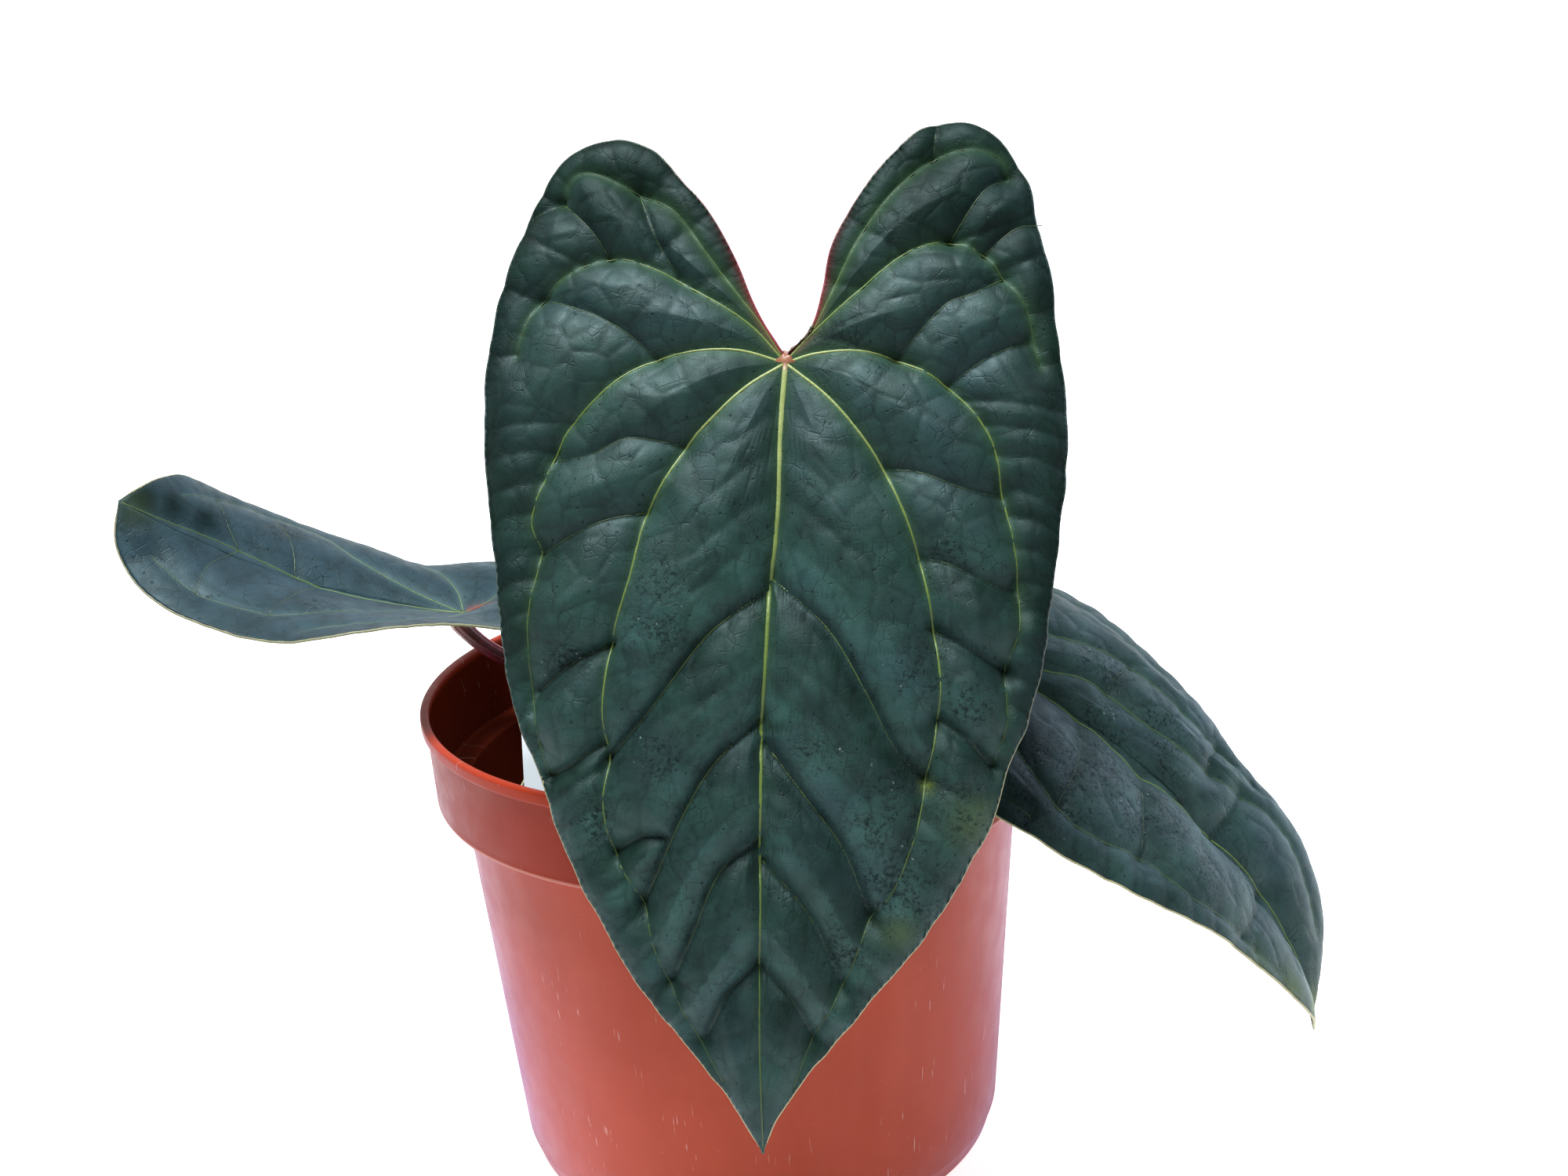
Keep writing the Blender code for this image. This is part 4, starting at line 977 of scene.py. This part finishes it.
def sheathMaterial():
    material, tree, shader = newMaterial("dry_sheath", Roughness=0.75, Sheen_Weight=0.2)
    place = objectPlace(tree)
    fibre = noiseOf(tree, scaled(tree, place, (1500, 1500, 60)), 1.0, 4.0)
    colour = mottle(tree, place, 140.0, (0.16, 0.085, 0.035), (0.42, 0.28, 0.15))
    colour = mixed(tree, stepped(tree, fibre, 0.4, 0.62, 0.0, 0.75), colour, (0.10, 0.05, 0.022))
    tree.links.new(colour, shader.inputs["Base Color"])
    bump(tree, shader, fibre, 0.0003)
    return material


def rootMaterial():
    material, tree, shader = newMaterial("root_skin", Roughness=0.85, Sheen_Weight=0.3)
    place = objectPlace(tree)
    colour = mottle(tree, place, 400.0, (0.24, 0.17, 0.09), (0.55, 0.46, 0.32))
    colour = mixed(tree, attribute(tree, "tip"), colour, (0.30, 0.36, 0.14))
    tree.links.new(colour, shader.inputs["Base Color"])
    bump(tree, shader, grain(tree, place, 2200.0), 0.0002)
    return material


crownSkin = crownMaterial()
sheathSkin = sheathMaterial()
rootSkin = rootMaterial()


def spunMesh(profile, steps, turn=math.tau, start=0.0):
    # a profile of (radius, height) in metres, turned about the upright axis
    bm = bmesh.new()
    spin = Matrix.Rotation(start, 4, "Z")
    points = [bm.verts.new(spin @ Vector((radius, 0, height))) for radius, height in profile]
    edges = [bm.edges.new(pair) for pair in zip(points, points[1:])]
    bmesh.ops.spin(bm, geom=points + edges, cent=(0, 0, 0), axis=(0, 0, 1), angle=turn, steps=steps,
                   use_merge=turn == math.tau)
    bmesh.ops.remove_doubles(bm, verts=bm.verts, dist=0.000005)
    bmesh.ops.recalc_face_normals(bm, faces=bm.faces)
    return bm


crownBuild = {"scars": 5, "scarHeight": 0.35, "steps": 64}


def addCrown():
    low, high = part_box("crown")
    most = high.x - 0.35 * mm
    height = high.z - low.z
    profile = []
    for index in range(41):
        share = index / 40
        swellAt = 0.9 + 0.06 * math.cos(share * math.tau)
        scar = crownBuild["scarHeight"] * mm * abs(math.sin(share * math.pi * crownBuild["scars"])) ** 0.6
        profile.append((most * swellAt + scar, low.z + height * share))
    profile = [(0, low.z)] + profile + [(most * 0.8, high.z), (0, high.z)]
    bm = spunMesh(profile, crownBuild["steps"])
    for vert in bm.verts:
        push = noise.noise(vert.co * 260) * 0.35 * mm
        vert.co += Vector((vert.co.x, vert.co.y, 0)).normalized() * (push - 0.25 * mm)
    addPiece("crown_stem", meshOf(bm, "crown_stem"), [crownSkin], ("crown",))


sheathBuild = {"inner": 7.9, "flare": 2.2, "thick": 0.35, "steps": 60}


def addSheath(name, start, spread, seed):
    low, high = (corner.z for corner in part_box(name))
    inner = sheathBuild["inner"] * mm
    profile = [(inner + sheathBuild["flare"] * mm * share ** 2.2, low + (high - low) * share)
               for share in np.linspace(1, 0, 25)]
    bm = spunMesh(profile, sheathBuild["steps"], spread, start)
    for vert in bm.verts:
        share = (vert.co.z - low) / (high - low)
        turn = math.atan2(vert.co.y, vert.co.x)
        ragged = 0.22 * (0.5 + noise.noise((turn * 5, seed, 0))) + 0.12 * noise.noise((turn * 22, seed, 4))
        middle = min(abs(((turn - start - spread / 2 + math.pi) % math.tau - math.pi) / spread) * 2, 1)
        share *= 1 - max(ragged, 0) * share - 0.35 * middle ** 3 * share
        pleat = 0.16 * mm * math.sin(turn * 40) * share
        out = Vector((vert.co.x, vert.co.y, 0)).normalized()
        vert.co = Vector((vert.co.x, vert.co.y, low + (high - low) * share)) + out * pleat
    piece = addPiece(name + "_paper", meshOf(bm, name), [sheathSkin], (name,))
    wall = piece.modifiers.new("wall", "SOLIDIFY")
    wall.thickness = sheathBuild["thick"] * mm
    wall.offset = 0.0


def addRoot(name, turn, reach):
    low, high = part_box(name)
    out = np.array((math.cos(turn), math.sin(turn), 0))
    start = 6.6
    top = np.array((0, 0, high.z / mm - 1.7))
    end = np.array((0, 0, low.z / mm + 1.3))
    route = [top + out * start, top + out * (start + 0.3 * reach) + (0, 0, 0.3),
             (top + end) / 2 + out * (start + 0.65 * reach), end + out * (start + reach)]
    path = evenPath(route, 0.6)
    share = np.linspace(0, 1, len(path))
    lumps = np.array([noise.noise((s * 9, turn, 0)) for s in share])
    radius = (1.35 - 0.3 * share + 0.12 * lumps) * np.clip((1 - share) * 6, 0.25, 1) ** 0.5
    mesh = tubeMesh(name, [(path * mm, radius * mm)], 16)
    setValues(mesh, "tip", [max(0, (point / len(path) - 0.8) * 5) for _, point in numbersOf(mesh)])
    addPiece(name + "_skin", mesh, [rootSkin], (name,))


addCrown()
addSheath("sheath_front", math.radians(-125), math.radians(115), 1.0)
addSheath("sheath_back", math.radians(60), math.radians(105), 5.0)
addRoot("root_left", math.radians(195), 15)
addRoot("root_front", math.radians(285), 12)
addRoot("root_right", math.radians(25), 17)
print("crown, sheaths and roots made")


# Potting mix

mixBuild = {"chips": 900, "perlite": 90, "seed": 12}


def earthMaterial(name, dark, light, rough):
    material, tree, shader = newMaterial(name, Roughness=rough)
    place = objectPlace(tree)
    colour = mottle(tree, place, 240.0, dark, light)
    damp = stepped(tree, noiseOf(tree, place, 70.0, 3.0), 0.4, 0.65, 0.45, 1.0)
    colour = mixed(tree, 1.0, colour, damp, "MULTIPLY")
    tree.links.new(colour, shader.inputs["Base Color"])
    bump(tree, shader, grain(tree, place, 1400.0), 0.0004)
    return material


def addMix():
    low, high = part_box("potting_mix")
    wallRadius = high.x
    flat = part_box("crown")[1].x * 2
    rimHeight = high.z - 1.5 * mm
    slope = 1.5 * mm / (wallRadius - flat)
    profile = [(0, high.z)]
    profile += [(radius, high.z - max(radius - flat, 0) * slope)
                for radius in np.linspace(2 * mm, wallRadius - 0.8 * mm, 44)]
    profile += [(wallRadius - 0.2 * mm, rimHeight - 0.6 * mm), (wallRadius - 6 * mm, low.z + 4 * mm),
                (0, low.z + 4 * mm)]
    bm = spunMesh(profile, 150)
    for vert in bm.verts:
        if vert.co.z > rimHeight - 0.5 * mm:
            vert.co.z += 0.9 * mm * noise.fractal(vert.co * 160, 0.8, 2.0, 4) - 0.6 * mm
    earth = earthMaterial("mix_peat", (0.012, 0.008, 0.005), (0.045, 0.026, 0.014), 0.95)
    addPiece("potting_mix_bed", meshOf(bm, "potting_mix_bed"), [earth], ("potting_mix",))
    chance = random.Random(mixBuild["seed"])
    bark = bmesh.new()
    white = bmesh.new()
    labelLow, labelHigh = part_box("plant_label")
    for number in range(mixBuild["chips"] + mixBuild["perlite"]):
        isWhite = number >= mixBuild["chips"]
        radius = math.sqrt(chance.uniform(0.02, 0.93)) * wallRadius
        turn = chance.uniform(0, math.tau)
        size = chance.uniform(0.7, 1.5) * mm if isWhite else chance.triangular(0.8, 3.6, 1.4) * mm
        x, y = radius * math.cos(turn), radius * math.sin(turn)
        nearLabel = labelLow.x - 2 * mm < x < labelHigh.x + 2 * mm and -0.045 < y < -0.026
        if radius < 9.5 * mm or nearLabel or radius + size > wallRadius:
            continue
        z = high.z - max(radius - flat, 0) * slope + chance.uniform(-0.6, 0.5) * mm
        shape = (1, chance.uniform(0.4, 0.9), chance.uniform(0.25, 0.6)) if not isWhite else (1, 0.85, 0.8)
        place = Matrix.Translation((x, y, z)) @ Matrix.Rotation(chance.uniform(0, math.tau), 4, "Z")
        place = place @ Matrix.Rotation(chance.gauss(0, 0.35), 4, "X") @ Matrix.Diagonal((*shape, 1))
        target = white if isWhite else bark
        made = bmesh.ops.create_icosphere(target, subdivisions=1, radius=size, matrix=place)
        for vert in made["verts"]:
            vert.co += noise.noise_vector(vert.co * 900) * size * 0.3
    skins = ((bark, "bark_chips", earthMaterial("bark", (0.025, 0.012, 0.006), (0.13, 0.065, 0.03), 0.85)),
             (white, "perlite", earthMaterial("perlite", (0.35, 0.33, 0.28), (0.75, 0.73, 0.68), 0.9)))
    for made, name, skin in skins:
        piece = addPiece(name, meshOf(made, name), [skin])
        piece.data.shade_flat()


addMix()
print("potting mix made")


# Pot

potBuild = {"lipHeight": 2.6, "lipProud": 1.0, "bandHeight": 18.8, "bandTaper": 0.6, "bandStep": 5.1,
            "bodyTaper": 6.1, "footHeight": 4.6, "footChamfer": 2.3, "wall": 1.5, "lipWall": 0.8,
            "floor": 2.2, "steps": 192, "holes": 6, "holeRadius": 4.0, "holeCircle": 33.0}


def potMaterial():
    material, tree, shader = newMaterial("pot_plastic_skin", Sheen_Roughness=0.35,
                                         Sheen_Tint=(0.45, 0.50, 1.0, 1))
    place = objectPlace(tree)
    wrap = addNode(tree, "ShaderNodeUVMap", uv_map="wrap").outputs["UV"]
    colour = mottle(tree, wrap, 3.0, (0.36, 0.056, 0.028), (0.41, 0.065, 0.033))
    flow = noiseOf(tree, scaled(tree, wrap, (9, 1.2, 1)), 1.0, 4.0)
    colour = mixed(tree, stepped(tree, flow, 0.35, 0.7, 0.0, 0.22), colour, (0.44, 0.090, 0.052))
    colour = mixed(tree, attribute(tree, "lip"), colour, (0.52, 0.085, 0.036))
    # painted shade: the inside of the pot made nearly black, with its shine and sheen taken away
    insideShade = attribute(tree, "insideShade")
    # painted shade: the band below the lip darker
    colour = mixed(tree, attribute(tree, "shadedBand"), colour, (0.68, 0.44, 0.36), "MULTIPLY")
    colour = mixed(tree, insideShade, colour, (0.060, 0.007, 0.002))
    gloss = stepped(tree, insideShade, 0.0, 0.5, 0.09, 0.0)
    tree.links.new(gloss, shader.inputs["Specular IOR Level"])
    # no sheen where shade is painted inside the pot, and less on the band
    shadeMask = maths(tree, "MAXIMUM", insideShade, maths(tree, "MULTIPLY", attribute(tree, "shadedBand"), 0.35))
    tree.links.new(stepped(tree, shadeMask, 0.0, 0.5, 0.40, 0.0), shader.inputs["Sheen Weight"])
    # short upright scuffs and fine dust
    scratch = noiseOf(tree, scaled(tree, wrap, (150, 11, 1)), 1.0, 2.0)
    where = stepped(tree, noiseOf(tree, wrap, 7.0, 3.0), 0.50, 0.66)
    scuff = maths(tree, "MULTIPLY", stepped(tree, scratch, 0.65, 0.71), where)
    speck = addNode(tree, "ShaderNodeTexVoronoi", {"Vector": wrap, "Scale": 45.0}).outputs["Distance"]
    speck = maths(tree, "MULTIPLY", stepped(tree, speck, 0.02, 0.05, 1.0, 0.0),
                  stepped(tree, noiseOf(tree, wrap, 11.0, 2.0), 0.5, 0.6))
    mark = maths(tree, "MAXIMUM", scuff, speck)
    colour = mixed(tree, maths(tree, "MULTIPLY", mark, 0.6), colour, (0.72, 0.52, 0.46))
    # painted highlight: a pale line along the lower edge of the band
    bandEdgeHighlight = attribute(tree, "bandEdgeHighlight")
    colour = mixed(tree, bandEdgeHighlight, colour, (0.62, 0.26, 0.20))
    tree.links.new(colour, shader.inputs["Base Color"])
    rough = stepped(tree, noiseOf(tree, wrap, 16.0, 5.0), 0.3, 0.7, 0.38, 0.50)
    rough = maths(tree, "ADD", rough, maths(tree, "MULTIPLY", maths(tree, "MAXIMUM", mark, insideShade), 0.25))
    tree.links.new(rough, shader.inputs["Roughness"])
    height = maths(tree, "ADD", maths(tree, "MULTIPLY", grain(tree, place, 1800.0), 0.35),
                   maths(tree, "MULTIPLY", mark, 0.6))
    bump(tree, shader, height, 0.00006)
    return material


def corner(centre, radius, first, last, steps=6):
    # points round a corner: centre and radius in metres, angles in degrees
    turns = [math.radians(first + (last - first) * step / steps) for step in range(steps + 1)]
    return [(centre[0] + radius * math.cos(turn), centre[1] + radius * math.sin(turn)) for turn in turns]


def addPot():
    b = {key: value * mm if isinstance(value, float) else value for key, value in potBuild.items()}
    rim, tall = potHigh.x, potHigh.z
    bandTop = rim - b["lipProud"]
    bandLow = bandTop - b["bandTaper"]
    step = tall - b["bandHeight"]
    bodyTop = bandLow - b["bandStep"]
    bodyFoot = bodyTop - b["bodyTaper"]
    lipRound, edge = 0.6 * mm, 0.9 * mm
    lipInner = bandTop - b["lipWall"]

    def body(height):
        return bodyFoot + b["bodyTaper"] * (height - b["footHeight"]) / (step - b["footHeight"])

    wall = b["wall"]
    profile = [(0, b["floor"]), (bodyFoot - 8 * mm, b["floor"]),
               (bodyFoot - 4.2 * mm, b["floor"] + 0.3 * mm)]
    levels = (b["footHeight"] + edge, 20 * mm, 40 * mm, 60 * mm, step - 1.5 * mm)
    profile += [(body(level) - wall, level) for level in levels]
    profile += corner((bodyTop - wall + 1.2 * mm, step + wall - 1.0 * mm), 1.0 * mm, 180, 90)
    profile += corner((bandLow - wall - 1.0 * mm, step + wall + 1.0 * mm), 1.0 * mm, -90, 0)
    profile += [(bandLow - wall + 0.2 * mm, tall - 8 * mm), (lipInner - 0.05 * mm, tall - 2.0 * mm)]
    profile += corner((lipInner + lipRound, tall - lipRound), lipRound, 180, 90)
    profile += corner((rim - lipRound, tall - lipRound), lipRound, 90, 0)
    profile += corner((rim - lipRound, tall - b["lipHeight"] + lipRound), lipRound, 0, -80)
    profile += corner((bandTop + 0.25 * mm, tall - b["lipHeight"] - 0.35 * mm), 0.3 * mm, 90, 180, 4)
    profile += [(bandLow + b["bandTaper"] * 0.6, tall - 9 * mm), (bandLow + 0.12 * mm, step + 2.2 * mm)]
    profile += corner((bandLow - 0.7 * mm, step + 0.8 * mm), 0.8 * mm, 20, -80)
    profile += [(bandLow - 2.4 * mm, step + 0.12 * mm)]
    profile += corner((bodyTop + 1.2 * mm, step - 1.15 * mm), 1.2 * mm, 90, 178)
    profile += [(body(h), h) for h in (70 * mm, 50 * mm, 30 * mm, 15 * mm, b["footHeight"] + 0.6 * mm)]
    profile += [(body(b["footHeight"]) - 0.25 * mm, b["footHeight"])]
    profile += [(bodyFoot - b["footChamfer"] * 0.55, 1.2 * mm)]
    profile += corner((bodyFoot - b["footChamfer"] - 1.0 * mm, 1.0 * mm), 1.0 * mm, -10, -90)
    profile += [(bodyFoot - 8 * mm, 0), (bodyFoot - 8.6 * mm, 0.6 * mm), (bodyFoot - 9.6 * mm, 0.6 * mm),
                (bodyFoot - 10.2 * mm, 0), (0, 0)]
    bm = spunMesh(profile, potBuild["steps"])
    pot = addPiece("pot_shell", meshOf(bm, "pot_shell"), [potMaterial()], ("pot",))
    cutters = []
    for index in range(potBuild["holes"]):
        turn = math.tau * (index + 0.5) / potBuild["holes"]
        bm = bmesh.new()
        place = Matrix.Rotation(turn, 4, "Z") @ Matrix.Translation((b["holeCircle"], 0, b["floor"] / 2))
        bmesh.ops.create_cone(bm, cap_ends=True, segments=40, radius1=b["holeRadius"],
                              radius2=b["holeRadius"], depth=3 * b["floor"], matrix=place)
        cutter = bpy.data.objects.new("hole", meshOf(bm, "hole"))
        bpy.context.scene.collection.objects.link(cutter)
        cut = pot.modifiers.new("hole", "BOOLEAN")
        cut.operation = "DIFFERENCE"
        cut.object = cutter
        cutters.append(cutter)
    bpy.context.view_layer.update()
    applied(pot)
    for cutter in cutters:
        bpy.data.objects.remove(cutter)
    mesh = pot.data
    wrap = mesh.uv_layers.new(name="wrap")
    for face in mesh.polygons:
        middle = math.atan2(face.center.y, face.center.x)
        for loop in face.loop_indices:
            place = mesh.vertices[mesh.loops[loop].vertex_index].co
            turn = math.atan2(place.y, place.x)
            turn += math.tau * round((middle - turn) / math.tau)
            wrap.data[loop].uv = (turn * rim * 10, place.z * 10)
    radii = np.array([math.hypot(vert.co.x, vert.co.y) for vert in mesh.vertices])
    heights = np.array([vert.co.z for vert in mesh.vertices])
    setValues(mesh, "lip", np.clip((heights - tall + 3.0 * mm) / (0.8 * mm), 0, 1) * 0.8)
    outwards = [Vector((vert.co.x, vert.co.y, 0)).normalized() for vert in mesh.vertices]
    # painted shade inside the pot: the inward-facing walls and the inner ledge, a little less on the ledge
    inward = np.array([-vert.normal.dot(outward) for vert, outward in zip(mesh.vertices, outwards)])
    upward = np.array([vert.normal.z for vert in mesh.vertices])
    ledge = (upward > 0.4) & (heights < tall - 5 * mm) & (radii < bandLow - 1.0 * mm)
    insideShadeMask = np.clip(np.clip(inward * 2.5, 0, 1) + ledge, 0, 1) * (heights > b["floor"] - 0.2 * mm)
    insideShadeMask *= np.where(upward > 0.4, 0.86, 1.0) * np.clip((tall - 0.5 * mm - heights) / (0.8 * mm), 0, 1)
    setValues(mesh, "insideShade", insideShadeMask * 0.93)
    # where the band below the lip gets painted shade
    setValues(mesh, "shadedBand", np.clip((heights - step) / (0.4 * mm), 0, 1) * (radii > bandLow - 1.5 * mm))
    # painted highlight along the lower edge of the band
    low = (heights < step + 1.0 * mm) & (heights > step + 0.05 * mm) & (radii > bandLow - 1.1 * mm)
    setValues(mesh, "bandEdgeHighlight", low * 0.5)
    mesh.shade_smooth()
    mesh.set_sharp_from_angle(angle=math.radians(50))


addPot()
print("pot made")


# Plant label

def labelMaterial():
    # it glows a little, for the light that the leaf in front keeps off it
    material, tree, shader = newMaterial("label_plastic", Specular_IOR_Level=0.5, Emission_Strength=0.75,
                                         Emission_Color=(0.80, 0.92, 1.0, 1))
    place = objectPlace(tree)
    colour = mottle(tree, place, 60.0, (0.80, 0.86, 0.96), (0.86, 0.91, 0.98))
    soil = noiseOf(tree, place, 320.0, 6.0)
    height = addNode(tree, "ShaderNodeSeparateXYZ", {"Vector": place}).outputs["Z"]
    low = stepped(tree, height, 0.052, 0.066, 1.0, 0.0)
    grime = maths(tree, "MULTIPLY", stepped(tree, soil, 0.52, 0.66), low)
    colour = mixed(tree, grime, colour, (0.10, 0.07, 0.045))
    tree.links.new(colour, shader.inputs["Base Color"])
    tree.links.new(stepped(tree, soil, 0.3, 0.7, 0.26, 0.42), shader.inputs["Roughness"])
    bump(tree, shader, grain(tree, place, 900.0), 0.00005)
    return material


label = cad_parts["plant_label"]
label.data.materials.clear()
label.data.materials.append(labelMaterial())


# Floor, light and camera

stageLook = {"floor": (0.93, 0.93, 0.93), "softbox": 20.0, "softboxSize": 0.4, "sky": 0.07}


def addStage():
    bm = bmesh.new()
    profile = [(-4.0, 0.0), (2.2, 0.0)] + [(2.2 + 0.8 * math.sin(turn), 0.8 - 0.8 * math.cos(turn))
                                           for turn in np.linspace(0.15, math.pi / 2, 9)] + [(3.0, 3.5)]
    points = [bm.verts.new((-4.5, y, z)) for y, z in profile]
    edges = [bm.edges.new(pair) for pair in zip(points, points[1:])]
    made = bmesh.ops.extrude_edge_only(bm, edges=edges)
    moved = [part for part in made["geom"] if isinstance(part, bmesh.types.BMVert)]
    bmesh.ops.translate(bm, vec=(9, 0, 0), verts=moved)
    bmesh.ops.recalc_face_normals(bm, faces=bm.faces)
    floor = bpy.data.objects.new("floor", meshOf(bm, "floor"))
    floor.data.shade_smooth()
    bpy.context.scene.collection.objects.link(floor)
    material, tree, shader = newMaterial("pale_floor", Roughness=0.9, Specular_IOR_Level=0.1)
    colour = mottle(tree, objectPlace(tree), 2.0, (0.92, 0.92, 0.92), stageLook["floor"])
    shader.inputs["Emission Color"].default_value = (1, 1, 1, 1)
    behind = addNode(tree, "ShaderNodeSeparateXYZ", {"Vector": objectPlace(tree)}).outputs["Y"]
    colour = mixed(tree, stepped(tree, behind, -0.5, -0.05), (0.50, 0.50, 0.50), colour)
    tree.links.new(colour, shader.inputs["Base Color"])
    tree.links.new(stepped(tree, behind, -0.22, 0.02, 0.0, 0.9), shader.inputs["Emission Strength"])
    floor.data.materials.append(material)


def addLight(name, energy, place, aim, colour, size, sizeY):
    data = bpy.data.lights.new(name, "AREA")
    data.energy = energy
    data.color = colour
    data.shape = "RECTANGLE"
    data.size = size
    data.size_y = sizeY
    light = bpy.data.objects.new(name, data)
    light.location = place
    light.rotation_euler = (Vector(aim) - Vector(place)).to_track_quat("-Z", "Y").to_euler()
    bpy.context.scene.collection.objects.link(light)


addStage()
softbox, softboxSize = stageLook["softbox"], stageLook["softboxSize"]
addLight("overhead", softbox, (-0.10, -0.22, 1.08), (0, -0.05, 0.12), (1, 1, 1), softboxSize, softboxSize)
addLight("window_right", 4.0, (0.9, 0.5, 0.45), (0.03, 0, 0.08), (0.60, 0.72, 1.0), 0.6, 0.9)
addLight("window_left", 0.8, (-0.9, 0.4, 0.6), (-0.05, 0, 0.1), (0.85, 0.90, 1.0), 0.7, 0.7)

world = bpy.data.worlds.new("studio")
world.use_nodes = True
world.node_tree.nodes["Background"].inputs["Color"].default_value = (1, 1, 1, 1)
world.node_tree.nodes["Background"].inputs["Strength"].default_value = stageLook["sky"]
bpy.context.scene.world = world
bpy.context.scene.view_settings.view_transform = "Standard"

cameraData = bpy.data.cameras.new("camera")
cameraData.lens = 41.4
cameraData.sensor_width = 36.0
camera = bpy.data.objects.new("camera", cameraData)
camera.location = (0, -0.3537, 0.2338)
camera.rotation_euler = (math.radians(72.207), math.radians(3.191), math.radians(-2.868))
bpy.context.scene.collection.objects.link(camera)
bpy.context.scene.camera = camera
